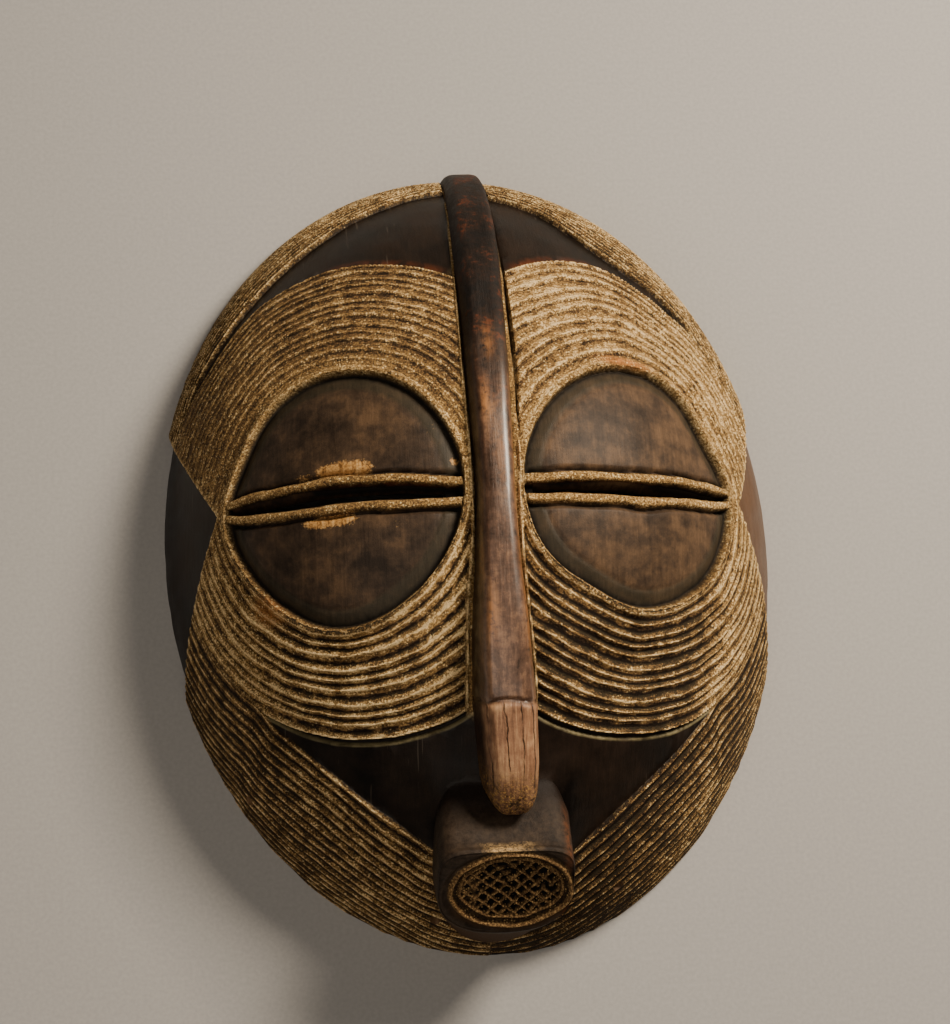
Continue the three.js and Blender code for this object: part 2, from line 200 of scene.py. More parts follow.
def muzzleApron(u, v):  # the face swells up to the muzzle's sides
    x, y, out = muzzlePlace(domePoint(u, v))
    depth = np.maximum(-out, 0)
    sideGap = np.abs(x) - muzzle["halfWidth"] * (1 - 0.1 * np.clip((depth - 30) / 28, 0, 1))
    topGap = y - muzzle["halfHeight"] - muzzle["topRise"] * depth
    gap = np.maximum(np.maximum(sideGap, topGap), 0)
    return muzzle["apron"] * np.exp(-(gap / 8) ** 1.4) * step(-212, -165, v) * step(-95, -140, v)


grooves = {
    "crest": 3.3,
    "border": 3.2,  # plain bead round the eyes
    "sharpness": 0.8,
    "handWobble": 0.75,
    "wobbleSize": 34.0,
    "depthWander": 0.42,
    "crownCut": (0.66, 2.2),  # where the cut lies between two crests, and its height
    "jawCut": (0.6, 1.7),
    "crownEarth": 0.52,
    "outerCheekEarth": 0.71,
    "outerJawEarth": 0.42,
    "rimContrast": 0.8,
}

eyes = {
    "edge": -1.3,
    "bevelRise": 2.8,
    "bevelStart": 0.86,
    "bulge": 3.4,
    "crease": 0.45,
    "barWidth": 4.7,
    "barRise": 1.2,
    "barGroove": 2.6,
    "barEarth": 0.72,
    "slitDepth": 6.0,
}

# Left and right differ, as the hand left them. Eye outlines go round from the outer corner, every 30 degrees.
# Ends and crescents are (degrees, mm), strips (along, width, width of the dark line), and slits (across,
# middle, half height).
sides = [
    {
        "sign": -1,
        "eye": (75.0, 3.5),
        "eyeOutline": (63.6, 59.0, 60.5, 59.0, 59.4, 60.8, 61.2, 59.0, 57.4, 58.6, 56.4, 58.2),
        "foreheadEnd": (
            (35, 128.5), (43, 127), (49, 126), (55, 126.3), (63, 128),
            (70, 129), (80, 127.3), (89, 125.5), (101, 123.3), (118, 122.5)),
        "cheekEnd": ((-118, 112.5), (-100, 109.8), (-80, 108.8), (-60, 109), (-20, 110)),
        "jawEnd": (45.0, -158.0),
        "crescent": (
            (18, 192), (24, 196), (28, 198), (31, 197.5), (35, 194), (39, 191),
            (45, 188.5), (51, 187.5), (63, 187), (71, 190.5), (79, 194.5), (90, 200)),
        "panelTop": (208.0, 84.0),
        "panelBottom": (208.0, -92.0),
        "slit": (
            (10, 1, 1.9), (25, 1, 2.5), (43, 2, 3.4), (81, 3.6, 3.9),
            (103, 5, 3.5), (127, 6.6, 2.4), (139, 8, 0.7)),
        "slitStart": 14.0,
        "slitCut": (21.5, 131.0),
        "strip": ((-90, 3.0, 0.0), (-45, 2.6, 0.0), (-15, 0.8, 0.1), (110, 0.9, 0.2), (260, 0.7, 0.3)),
        "foreheadGrooves": 13, "cheekGrooves": 9, "crownPitch": 4.6, "jawPitch": 5.7,
        "foreheadValley": 2.5, "plainEdge": 13.0, "outerFade": 0.7,
        # earth shares: the pigment's tone with painted light, making the left cheek and jaw lighter and the
        # left forehead darker than the right
        "foreheadEarthAndLight": 0.52, "cheekEarthAndLight": 0.72, "jawEarthAndLight": 0.54,
    },
    {
        "sign": 1,
        "eye": (74.0, 7.5),
        "eyeOutline": (61.0, 52.6, 55.5, 55.9, 54.8, 56.6, 59.8, 60.2, 55.4, 56.3, 56.5, 58.8),
        "foreheadEnd": (
            (50, 110), (64, 109.3), (69, 108.8), (79, 112.5),
            (86, 117), (92, 119.3), (104, 120.6), (116, 120.5)),
        "cheekEnd": ((-118, 114.5), (-100, 113.5), (-80, 113.8), (-60, 115), (-20, 115)),
        "jawEnd": (50.0, -162.0),
        "crescent": (
            (30, 160), (36, 166), (41, 170), (49, 167.5), (55, 162.5), (62, 162.5),
            (66, 165), (70, 169.5), (76, 180.5), (80, 185), (90, 194)),
        "panelTop": (208.0, 122.0),
        "panelBottom": (208.0, -86.0),
        "slit": (
            (10, 1.8, 1.8), (22, 2, 2.1), (50, 2.6, 2.6), (71, 2.8, 2.8),
            (95, 4, 2.8), (112, 5, 2.2), (126, 6.3, 1.6), (136, 7.6, 0.6)),
        "slitStart": 13.6,
        "slitCut": (18.0, 127.0),
        "strip": (
            (-90, 1.2, 0.0), (-30, 1.6, 0.15), (20, 2.6, 0.25),
            (60, 2.6, 0.7), (95, 1.5, 1.2), (200, 0.6, 0.9)),
        "foreheadGrooves": 10, "cheekGrooves": 11, "crownPitch": 5.0, "jawPitch": 5.9,
        "foreheadValley": 1.9, "plainEdge": 4.0, "outerFade": 0.4,
        "foreheadEarthAndLight": 0.68, "cheekEarthAndLight": 0.4, "jawEarthAndLight": 0.22,
    },
]

marks = {
    "cheekPoint": (127.0, -97.0),
    "panelApex": (146.0, 7.0),
    "rimHoles": ((-155.0, -150.0), (-36.0, -216.0), (78.0, -198.0)),
    "rimHoleWidth": 5.0,
}


def panelInside(side, u, v):  # how far a place is inside the bare temple panel
    (ax, ay), inside = marks["panelApex"], None
    for cx, cy in (side["panelTop"], side["panelBottom"]):
        run, rise = cx - ax, abs(cy - ay)
        sign = 1 if cy > ay else -1
        depth = ((u - ax) * rise - sign * (v - ay) * run) / math.hypot(run, rise)
        inside = depth if inside is None else np.minimum(inside, depth)
    return inside


def slitDistance(side, u, v):  # from the edge of the slot between the bars
    line, half = tableValue(side["slit"], u, 1), tableValue(side["slit"], u, 2)
    return np.abs(v - line) - half


def rayToEdge(turn, middle, edge):  # where a ray from the dome's top meets an edge drawn round an eye
    far = np.full_like(turn, 190.0)
    for _ in range(4):
        u, v = far * np.cos(turn), far * np.sin(turn)
        radius = tableValue(edge, np.degrees(np.arctan2(v - middle[1], u - middle[0])))
        near = middle[0] * np.cos(turn) + middle[1] * np.sin(turn)
        far = near + np.sqrt(np.maximum(near ** 2 - middle[0] ** 2 - middle[1] ** 2 + radius ** 2, 0))
    return far


def jawDistance(side, u, v, r, turn):  # outwards from the jaw's upper edge
    (px, py), (ex, ey) = marks["cheekPoint"], side["jawEnd"]
    length = math.hypot(ex - px, ey - py)
    tx, ty = (ex - px) / length, (ey - py) / length
    turned = np.where(u < 50, 25 + u * u / 100, u)  # the grooves level off under the mouth
    line = -(turned - px) * ty + (v - py) * tx
    circle = r - tableValue(side["cheekEnd"], np.degrees(turn))
    ahead = (u - px) * -0.823 + (v - py) * -0.568
    return mix(circle, line, step(-8, 10, ahead))


def scoop(turn, valleyAt, valley, wander):  # height from crest to crest of the grooves
    part = turn - np.floor(turn)
    fall = np.where(part < valleyAt, part / valleyAt, (1 - part) / (1 - valleyAt))
    depth = (grooves["crest"] - valley) * (1 + wander)
    return grooves["crest"] - depth * np.sin(fall * math.pi / 2) ** grooves["sharpness"]


def lidAndBars(side, u, v, p, q, reach):  # bevelled lid, then the two bars round the slit
    start = eyes["bevelStart"]
    level = eyes["edge"] + eyes["bevelRise"]
    inner = level + eyes["bulge"] * np.clip(1 - (reach / start) ** 2, 0, 1) ** 0.9
    bevel = level - eyes["bevelRise"] * (1 - np.clip((1 - reach) / (1 - start), 0, 1)) ** 1.3
    lid = np.where(reach < start, inner, bevel) + (softNoise(u, v, 14, 8) - 0.5) * 0.4
    lid -= eyes["crease"] * np.exp(-((reach - start) / 0.017) ** 2) * mix(0.5, 1, step(10, -10, q))

    slit = slitDistance(side, u, v)
    across = np.clip(np.abs(p) / 62, 0, 1)
    onLine = level + eyes["bulge"] * np.clip(1 - (across / start) ** 2, 0, 1) ** 0.9
    barTop = np.maximum(onLine + eyes["barRise"], grooves["crest"]) + (softNoise(u, v, 6, 9) - 0.5) * 0.7
    width = eyes["barWidth"] * (0.85 + 0.3 * softNoise(u, v, 15, 10))
    k = np.clip(slit / width * 2 - 1, -1, 1)
    bar = barTop - 1.8 * np.abs(k) ** 3
    beyond = slit - width
    lidCut = eyes["barGroove"] * np.exp(-((beyond - 0.8) / 1.0) ** 2) * step(1.0, 0.95, reach)
    barShare = step(0.5, -0.5, beyond)
    height = mix(lid - lidCut, bar, barShare)
    between = step(0.25, -0.6, slit)
    opened = step(side["slitStart"] - 0.6, side["slitStart"] + 0.6, u)
    height = mix(height, mix(barTop - 1.5, barTop - eyes["slitDepth"], opened), between)
    return height, barShare, between, opened, step(1.0, 0.7, np.abs(k))


def carveSide(side, u, v):
    crest, border = grooves["crest"], grooves["border"]
    p, q = u - side["eye"][0], v - side["eye"][1]
    r, turn = np.hypot(p, q), np.arctan2(q, p)
    angle = np.degrees(turn)
    rim = roundValue(side["eyeOutline"], turn)
    reach = r / rim
    centre, around = np.hypot(u, v), np.arctan2(v, u)
    panel = panelInside(side, u, v)
    beside = u - (ridgeAt(v, 1) + ridgeAt(v, 3) * side["sign"])
    stripWidth = tableValue(side["strip"], v)
    lineWidth = tableValue(side["strip"], v, 2)
    stripEnd = stripWidth + lineWidth
    join = 1.3 * step(0.5, 0.15, lineWidth)
    wander = (softNoise(u, v, 17, 31) - 0.5) * 2 * grooves["depthWander"]
    shift = (softNoise(u, v, 45, 33) - 0.5) * 0.5 + (softNoise(u, v, 9, 34) - 0.5) * 0.14

    # bands round the eye: grooves from a plain bead out to the band's end
    upper = q >= 0
    eyeEnd = np.where(upper, tableValue(side["foreheadEnd"], angle), tableValue(side["cheekEnd"], angle))
    count = np.where(upper, side["foreheadGrooves"], side["cheekGrooves"])
    fraction = (r - rim - border) / (eyeEnd - rim - border)
    calm = step(0, 0.12, fraction) * step(1, 0.88, fraction)
    eyeTurn = fraction * count + calm * (shift + 0.16 * np.sin(fraction * count * 1.9 + side["sign"]))
    eyeValleyAt = mix(0.8, 0.58, step(20, -20, q))
    fade = step(0, side["plainEdge"], r - rim - 3) * (1 - side["outerFade"] * step(65, 30, angle))
    fade = mix(fade, 1, step(10, -20, q))
    eyeBand = scoop(eyeTurn, eyeValleyAt, mix(side["foreheadValley"], 1.4, step(15, -25, q)), wander)
    eyeBand = mix(crest - 0.5, eyeBand, mix(0.3, 1, fade))
    bead = crest + 0.4 - 0.5 * np.clip(1 - (r - rim) / 1.2, 0, 1) ** 2
    eyeBand = np.where(eyeTurn < 0, bead, eyeBand)
    eyeInside = np.minimum(r - rim, eyeEnd - r + 0.9)
    eyeInside = np.minimum(eyeInside, np.minimum(-panel, beside - stripEnd + join))

    foreheadEdge = rayToEdge(around, side["eye"], side["foreheadEnd"])
    crownStart = np.maximum(tableValue(side["crescent"], np.degrees(around)), foreheadEdge + 0.8)
    crownTurn = (centre - crownStart) / side["crownPitch"] + shift * step(0, 8, centre - crownStart)
    crownBand = scoop(crownTurn, *grooves["crownCut"], wander)
    crownInside = np.minimum(np.minimum(centre - crownStart + 0.8, 60), np.minimum(-panel, beside - stripEnd))
    crownInside = np.where(around > 10 * degree, crownInside, -9)

    jawFar = jawDistance(side, u, v, r, turn)
    jawTurn = jawFar / side["jawPitch"] + shift * step(0, 8, jawFar)
    jawBand = scoop(jawTurn, *grooves["jawCut"], wander)
    jawInside = np.minimum(np.minimum(jawFar + 0.8, 60), -panel)
    jawInside = np.where((around < -8 * degree) & (q < 0), jawInside, -9)

    # smooth ground between the bands: a lip past a dark gap under the cheek, a low lip over the forehead
    pastEnd = r - eyeEnd
    gap = np.where(upper, 0.6, mix(1.0, 2.6, step(-60, -85, angle)))
    lipHeight = np.where(upper, 0.9, 2.0)
    lip = lipHeight * step(gap, gap + 1.0, pastEnd) * mix(0.4, 1, np.exp(-np.maximum(pastEnd - gap, 0) / 9))
    plain = np.where(reach > 1, lip, 0) * step(1, -2, panel) - 1.1 * step(0, 3, panel)
    plain += (softNoise(u, v, 11, 5) + softNoise(u, v, 23, 6) - 1) * 0.35

    # light strip and dark line along the foot of the ridge
    footLine = step(-97, -91, v) * step(0.97, 1.02, reach)
    bare = step(0.3, -0.3, np.maximum(eyeInside, crownInside))
    channel = step(stripWidth - 0.3, stripWidth + 0.3, beside) * step(stripEnd + 0.5, stripEnd - 0.2, beside)
    channel = channel * footLine * step(0.05, 0.6, lineWidth)
    plain = mix(plain, -0.4, channel * bare)

    height, turnValue, cover, lane = plain, np.zeros_like(u), np.zeros_like(u), np.zeros_like(u)
    valleyAt, earth, contrast = np.full_like(u, 0.6), np.full_like(u, 0.6), np.full_like(u, 0.6)
    outer = step(95, 135, u)
    nearRim = step(0.88, 1.0, np.hypot(u / dome["spanAcross"], v / dome["spanAlong"]))
    nearRim = np.maximum(nearRim, step(122, 155, u) * step(60, 20, v)) * 0.65
    lower = step(10, -45, q)
    # each side's earth shares carry painted light as well as the pigment's tone
    eyeEarthAndLight = mix(side["foreheadEarthAndLight"], mix(side["cheekEarthAndLight"], grooves["outerCheekEarth"], outer), lower)
    eyeEarthAndLight = np.where(eyeTurn < 0, mix(0.7, 0.6, step(0, -45, q)), eyeEarthAndLight)
    eyeContrast = mix(0.42, mix(1.0, 0.7, outer), lower) * mix(1, 0.8, outer) * mix(0.35, 1, fade)
    jawEarthAndLight = mix(side["jawEarthAndLight"], grooves["outerJawEarth"], outer)
    rimContrast = grooves["rimContrast"]
    for band, bandTurn, inside, at, bandEarth, bandContrast, run in (
            (eyeBand, eyeTurn, eyeInside, eyeValleyAt, eyeEarthAndLight, eyeContrast, turn * 90),
            (crownBand, crownTurn, crownInside, grooves["crownCut"][0], grooves["crownEarth"], rimContrast,
             around * 200),
            (jawBand, jawTurn, jawInside, grooves["jawCut"][0], jawEarthAndLight, rimContrast, around * 180)):
        share = step(-0.35, 0.6, inside)
        height = mix(height, mix(band, crest - 0.8, nearRim), share)
        chosen = inside > -0.35
        turnValue = np.where(chosen, bandTurn, turnValue)
        lane = np.where(chosen, run, lane)
        valleyAt = np.where(chosen, at, valleyAt)
        earth = np.where(chosen, bandEarth, earth)
        contrast = np.where(chosen, bandContrast, contrast)
        cover = np.maximum(cover, share)

    strip = step(-1.5, 0.1, beside) * step(stripWidth + 0.25, stripWidth - 0.35, beside) * footLine
    height = mix(height, 0.9, channel * (1 - bare))
    height = mix(height, mix(crest + 0.2, 1.5, bare), strip)
    cover = np.maximum(cover * (1 - channel * 0.8), strip)
    turnValue = np.where(strip > 0.4, 0, turnValue)
    earth = mix(earth, mix(0.85, 0.5, bare), strip)

    eye, barShare, between, opened, rounded = lidAndBars(side, u, v, p, q, reach)
    eyeShare = step(0.6, -0.9, r - rim)
    height = mix(height, eye, eyeShare)
    bar = barShare * (1 - between) * eyeShare * rounded
    cover = mix(cover, bar, step(0.5, -0.7, r - rim))
    inEye = r - rim < 0.9
    # painted shade: the open slit, its closed ends and a dark line just inside each eye's rim
    inSlit = between * opened
    darkEnds = between * (1 - opened) * (0.55 + 0.35 * side["sign"])
    eyeRimShade = np.exp(-((r - rim + 1.2) / 1.15) ** 2) * 0.9 * (1 - bar)
    bevelStart = eyes["bevelStart"]
    return {
        "height": height,
        "cover": cover,
        "turn": np.where(inEye, 0.3, turnValue),
        "lane": lane,
        "valleyAt": valleyAt,
        "earth": mix(earth, eyes["barEarth"], bar),
        "contrast": np.where(inEye, 0.0, contrast) * (1 - strip),
        "lid": eyeShare * (1 - barShare * (1 - between * (1 - opened))),
        "bevel": eyeShare * (1 - barShare) * step(bevelStart - 0.02, bevelStart + 0.02, reach),
        "soot": np.maximum(np.maximum(inSlit, darkEnds) * eyeShare, eyeRimShade),
        "slot": inSlit * eyeShare,
        "panel": step(-0.2, 0.5, panel),
        "nearPanel": np.exp(-(np.minimum(panel, 0) + 0.2) ** 2 / 1.2) * cover,
        "pastLip": pastEnd - gap,
    }


def carve(u, v):
    wobble, size = grooves["handWobble"], grooves["wobbleSize"]
    du, dv = (
        (softNoise(u, v, size, seed) - 0.5) * 2 * wobble
        + (softNoise(u, v, size / 4, seed + 2) - 0.5) * wobble * 0.5
        for seed in (1, 2))
    left = carveSide(sides[0], -(u + du), v + dv)
    right = carveSide(sides[1], u + du, v + dv)
    carved = {key: np.where(u < 0, left[key], right[key]) for key in left}
    carved["height"] = carved["height"] + muzzleApron(u, v) * (1 - carved["cover"])
    return carved


def meshObject(name, points, faces):
    mesh = bpy.data.meshes.new(name)
    mesh.from_pydata((points * mm).astype(np.float32), [], faces)
    mesh.update()
    piece = bpy.data.objects.new(name, mesh)
    bpy.context.scene.collection.objects.link(piece)
    return piece


def turnedOut(piece):  # makes every face of a closed mesh point outwards
    work = bmesh.new()
    work.from_mesh(piece.data)
    bmesh.ops.recalc_face_normals(work, faces=work.faces)
    if work.calc_volume(signed=True) < 0:
        bmesh.ops.reverse_faces(work, faces=work.faces)
    work.to_mesh(piece.data)
    work.free()
    return piece


def closedLoft(name, rings):  # a capped skin through rings of points, rings[ring][point]
    rings = np.array(rings)
    total, count = rings.shape[:2]
    ring, k = np.meshgrid(np.arange(total - 1), np.arange(count), indexing="ij")
    a, b = (ring * count + k).ravel(), (ring * count + (k + 1) % count).ravel()
    quads = np.stack([a, b, b + count, a + count], 1).tolist()
    caps = [list(range(count))[::-1], list(range((total - 1) * count, total * count))]
    return turnedOut(meshObject(name, rings.reshape(-1, 3), quads + caps))


def carvedDome():
    reach = dome["pastRim"]
    across, along = (
        np.arange(-dome[span] * reach, dome[span] * reach + gridStep, gridStep)
        for span in ("spanAcross", "spanAlong"))
    u, v = np.meshgrid(across, along, indexing="ij")
    lift = carve(u, v)["height"]
    top = onFace(u, v, lift)
    inside = np.hypot(u / dome["spanAcross"], v / dome["spanAlong"]) < reach
    cells = inside[:-1, :-1] & inside[1:, :-1] & inside[:-1, 1:] & inside[1:, 1:]
    number = np.arange(u.size).reshape(u.shape)
    quads = np.stack([number[:-1, :-1], number[1:, :-1], number[1:, 1:], number[:-1, 1:]], -1)[cells]
    used, compact = np.unique(quads, return_inverse=True)
    quads = compact.reshape(quads.shape)
    points = top.reshape(-1, 3)[used]
    below = points.copy()
    below[:, 2] = -60
    edges = np.concatenate([quads[:, [k, (k + 1) % 4]] for k in range(4)])
    key = edges[:, 0].astype(np.int64) * len(used) + edges[:, 1]
    back = edges[:, 1].astype(np.int64) * len(used) + edges[:, 0]
    rim = edges[~np.isin(key, back)]
    walls = np.stack([rim[:, 1], rim[:, 0], rim[:, 0] + len(used), rim[:, 1] + len(used)], 1)
    faces = np.concatenate([quads, quads[:, ::-1] + len(used), walls])
    return meshObject("maskCarved", np.concatenate([points, below]), faces), (across, along, lift)


def ridgeBar():
    table = np.array(ridge["section"])
    length = np.concatenate([[0], np.cumsum(np.hypot(*np.diff(table, axis=0).T))])
    side, up = (np.interp(np.linspace(0, length[-1], 71), length, table[:, k]) for k in (0, 1))
    for _ in range(3):  # rounds the section's corners
        side[1:-1], up[1:-1] = ((a[:-2] + 2 * a[1:-1] + a[2:]) / 4 for a in (side, up))
    tip = ridge["stations"][-1][0] + ridge["tipLength"]
    alongs = np.arange(ridge["stations"][0][0], tip, -0.8)
    t = np.linspace(0, 1, 30)[1:]
    alongs = np.concatenate([alongs, tip - ridge["tipLength"] * np.sin(t * math.pi / 2)])
    roundness = np.concatenate([np.ones(len(alongs) - len(t)), np.cos(t * math.pi / 2 * 0.97)])
    rings = []
    for along, full in zip(alongs, roundness):
        level = np.full(len(side), along)
        bend = -ridge["lineBend"] * side ** 2
        line = np.exp(-((along - bend - ridge["noseLine"]) / 1.0) ** 2) * ridge["lineDepth"]
        line = line - 0.45 * np.exp(-((along - bend - ridge["noseLine"] + 2.6) / 1.6) ** 2)
        half = ridgeAt(along, 1) * mix(0.4, 1, full ** 0.8)
        high = ridgeAt(along, 2) * mix(0.74, 1, full ** 0.8) - line * up
        hand = (softNoise(side * 12, level, 9, 12) - 0.5) * 0.5
        hand += (softNoise(side * 20, level, 26, 13) - 0.5) * 1.1
        ring = onFace(np.zeros(len(side)), level, mix(ridge["sunk"], high + hand * up, up))
        ring[:, 0] = side * (half - line * 0.5 + hand * 0.5) + ridgeAt(along, 3)
        under = onFace(np.zeros(7), np.full(7, along), np.full(7, ridge["sunk"] - 2))
        under[:, 0] = np.linspace(1, -1, 9)[1:-1] * half + ridgeAt(along, 3)
        rings.append(np.concatenate([ring, under]))
    return closedLoft("ridgeBar", rings)


def muzzleFront(x, y):  # height of the muzzle's front face
    x = x + (softNoise(x, y, 8, 61) - 0.5) * 1.3
    y = y + (softNoise(x, y, 8, 62) - 0.5) * 1.3
    mx, my = muzzle["mouthMiddle"]
    outer = np.hypot((x - mx) / muzzle["outerRing"][0], (y - my) / muzzle["outerRing"][1])
    inner = np.hypot((x - mx) / muzzle["innerRing"][0], (y - my - 1.0) / muzzle["innerRing"][1])
    size = (muzzle["outerRing"][0] + muzzle["outerRing"][1]) / 2
    outerGap, innerGap = (outer - 1) * size, (inner - 1) * (size - 4)
    height = -0.4 - 1.6 * np.exp(-((outerGap - 2.2) / 1.4) ** 2)
    height = np.where(outerGap < 0, -2.0, height)
    height = np.maximum(height, 0.3 - 1.4 * (outerGap / 1.0) ** 2)
    slants = (x * 0.92 + y) / 1.36, (x * 1.04 - y * 0.96) / 1.415
    toLine = np.minimum(*(np.abs((slant / muzzle["cell"]) % 1 - 0.5) for slant in slants)) * muzzle["cell"]
    pit = muzzle["pit"] * mix(0.35, 1, step(-16, -2, x)) * (0.6 + 0.7 * softNoise(x, y, 6, 63))
    lattice = -1.1 - pit * step(0.15, 1.1, toLine) + (softNoise(x, y, 1.6, 64) - 0.5) * 0.9
    height = np.where(innerGap < 0, lattice, height)
    return np.maximum(height, -0.5 - 1.4 * (innerGap / 0.8) ** 2)


def muzzleBlock():
    count = 320
    turn = np.arange(count) / count * 2 * math.pi
    c, s = np.cos(turn), np.sin(turn)
    boxy = np.where(s > 0, 0.4, 0.85)
    right = np.sign(c) * np.abs(c) ** boxy
    up = np.sign(s) * np.abs(s) ** boxy
    front, tilt, small = muzzle["front"], muzzle["tilt"], 0.985
    places = []
    for k in np.linspace(0.02, 1, 96) ** 0.8:  # from the middle of the mouth to the lip
        x, y = right * muzzle["halfWidth"] * small * k, up * muzzle["halfHeight"] * small * k
        places.append((x, y, muzzleFront(x, y) - 0.5 * step(0.96, 1, k)))
    for depth in np.concatenate([np.linspace(0.5, 6, 12), np.linspace(7, 58, 44)]):
        taper = 0.01 * max(depth - 26, 0) * (0.35 + 0.65 * np.clip(s * 2, 0, 1))
        size = mix(small, 1, min(depth / 2, 1)) - taper
        flare = muzzle["topFlare"] * max(depth - 22, 0) ** 2  # the top sweeps up into the face
        grown = np.where(s > 0, muzzle["topRise"] * depth + flare, muzzle["bottomDrop"] * depth)
        x, y = right * muzzle["halfWidth"] * size, up * (muzzle["halfHeight"] * size + grown)
        dip = muzzle["hollowTop"] * np.clip(s * 3, 0, 1) * (1 - right ** 2) * step(0, 8, depth)
        lip = 0.7 * np.clip(s * 3, 0, 1) * math.exp(-((depth - 1.5) / 1.4) ** 2)
        places.append((x, y - dip + lip, np.full(count, -depth)))
    x, y, out = (np.array(column) for column in zip(*places))
    y = y + (softNoise(x * 2 + out, y * 2 - out, 13, 21) - 0.5) * 0.6 * (out < -0.8)
    return closedLoft("muzzleBlock", np.stack([
        front[0] + x,
        front[1] - dome["middle"] + y * math.cos(tilt) - out * math.sin(tilt),
        front[2] + y * math.sin(tilt) + out * math.cos(tilt),
    ], -1))


# Inside: shallow facets of the adze, longer along the mask than across it
adze = {"facets": 900, "seed": 77, "stretch": (1.5, 0.75), "depth": 0.45}


def hollowCutter():
    rings, count = 110, 240
    reach = np.linspace(1.05, 0.004, rings)[:, None]
    turn = (np.arange(count) / count * 2 * math.pi)[None, :]
    u, v = reach * dome["spanAcross"] * np.cos(turn), reach * dome["spanAlong"] * np.sin(turn)
    points = domePoint(u, v)
    points[..., 1] += dome["middle"]
    halves = np.array([dome["width"] / 2, dome["height"] / 2, dome["depth"]])
    points *= 1 - dome["wall"] / halves
    points[..., 1] -= dome["middle"]
    strokes = np.random.default_rng(adze["seed"]).uniform((-240, -280), (240, 280), (adze["facets"], 2))
    stretch = np.array(adze["stretch"])
    flat = np.stack([u.ravel() * stretch[0], v.ravel() * stretch[1]], 1)
    nearest = np.full(len(flat), 1e9)
    for stroke in strokes * stretch:
        nearest = np.minimum(nearest, ((flat - stroke) ** 2).sum(1))
    scallop = -np.clip(nearest / 90, 0, 1.6).reshape(u.shape) * adze["depth"]
    return closedLoft("hollowCutter", points + domeNormal(u, v) * (scallop + 0.3)[..., None])


def slitCutter(side):
    count = 60
    u = np.linspace(*side["slitCut"], count)
    line = tableValue(side["slit"], u, 1)
    half = tableValue(side["slit"], u, 2) - 0.3
    half = half * (1 + (softNoise(u, u * 0, 12, 41 + side["sign"]) - 0.5) * 0.2)
    outline = np.concatenate([
        onFace(side["sign"] * u, line + half, np.full(count, 5.0)),
        onFace(side["sign"] * u, line - half, np.full(count, 5.0))[::-1],
    ])
    levels = []
    for height in (-20, 60, 90, 120, 220):
        level = outline.copy()
        level[:, 2] = height
        levels.append(level)
    return closedLoft("slitCutter", levels)


def holeCutter(place):
    u, v = np.full(1, place[0]), np.full(1, place[1])
    middle, out = onFace(u, v, np.full(1, -8.0))[0], domeNormal(u, v)[0]
    turn = Vector((0, 0, 1)).rotation_difference(Vector(out)).to_matrix()
    count = 20
    rings = []
    for height, wide in ((-22, 1), (0, 1), (8, 1), (11, 1.15), (13, 1.6), (22, 1.6)):
        radius = marks["rimHoleWidth"] / 2 * wide
        angles = (k / count * 2 * math.pi for k in range(count))
        rings.append([
            Vector(middle) + turn @ Vector((radius * math.cos(angle), radius * math.sin(angle), height))
            for angle in angles])
    return closedLoft("holeCutter", rings)


def lowerBlock():  # what lies under the plane of the back rim
    corners = ((-400, -400), (400, -400), (400, 400), (-400, 400))
    return closedLoft("lowerBlock", [[(x, y, z) for x, y in corners] for z in (-200.0, 0.0)])


def settle(piece):  # makes the modifiers' result the piece's own mesh
    shown = piece.evaluated_get(bpy.context.evaluated_depsgraph_get())
    mesh = bpy.data.meshes.new_from_object(shown)
    piece.modifiers.clear()
    piece.data = mesh


def combine(piece, tools):
    for tool, operation, material in tools:
        tool.data.materials.append(material)
        modifier = piece.modifiers.new(operation, "BOOLEAN")
        modifier.object, modifier.operation = tool, operation
        modifier.solver, modifier.material_mode = "MANIFOLD", "TRANSFER"
        settle(piece)
        bpy.data.objects.remove(tool)


def linear(hexColour):
    parts = [int(hexColour[k:k + 2], 16) / 255 for k in (1, 3, 5)]
    return [*(c / 12.92 if c <= 0.04045 else ((c + 0.055) / 1.055) ** 2.4 for c in parts), 1]


def addNode(tree, kind, *values, output=0, stops=(), **settings):  # values: inputs in order, or a dictionary
    node = tree.nodes.new("ShaderNode" + kind)
    for name, value in settings.items():
        setattr(node, name, value)
    inputs = values[0] if values and isinstance(values[0], dict) else dict(enumerate(values))
    for name, value in inputs.items():
        if isinstance(value, bpy.types.NodeSocket):
            tree.links.new(value, node.inputs[name])
        else:
            node.inputs[name].default_value = linear(value) if isinstance(value, str) else value
    for k, (position, colour) in enumerate(stops):
        elements = node.color_ramp.elements
        element = elements[k] if k < len(elements) else elements.new(position)
        element.position, element.color = position, linear(colour)
    return node.outputs[output] if node.outputs else node


inColour = {"output": 2, "data_type": "RGBA"}  # a Mix node's inputs for colours: 0 the share, 6 and 7 the two


def newMaterial(name, look, values):  # with its place, its painted values and its look's noise patterns
    material = bpy.data.materials.new(name)
    material.use_nodes = True
    material.node_tree.nodes.clear()
    add = partial(addNode, material.node_tree)
    place = add("TexCoord", output=3)
    painted = [add("Attribute", attribute_name=value, output=2) for value in values.split()]
    patterns = [
        add("TexNoise", {"Vector": place, "Scale": 1 / (size * mm), "Detail": detail, "Roughness": roughness})
        for size, detail, roughness in look["patterns"]]
    return material, add, place, painted, patterns


def longGrain(add, place, size, draw, detail=5.0):  # wood grain drawn out along the mask
    drawn = add("Mapping", {"Vector": place, "Scale": (1, draw, draw * 3)})
    return add("TexNoise", {"Vector": drawn, "Scale": 1 / (size * mm), "Detail": detail, "Roughness": 0.65})


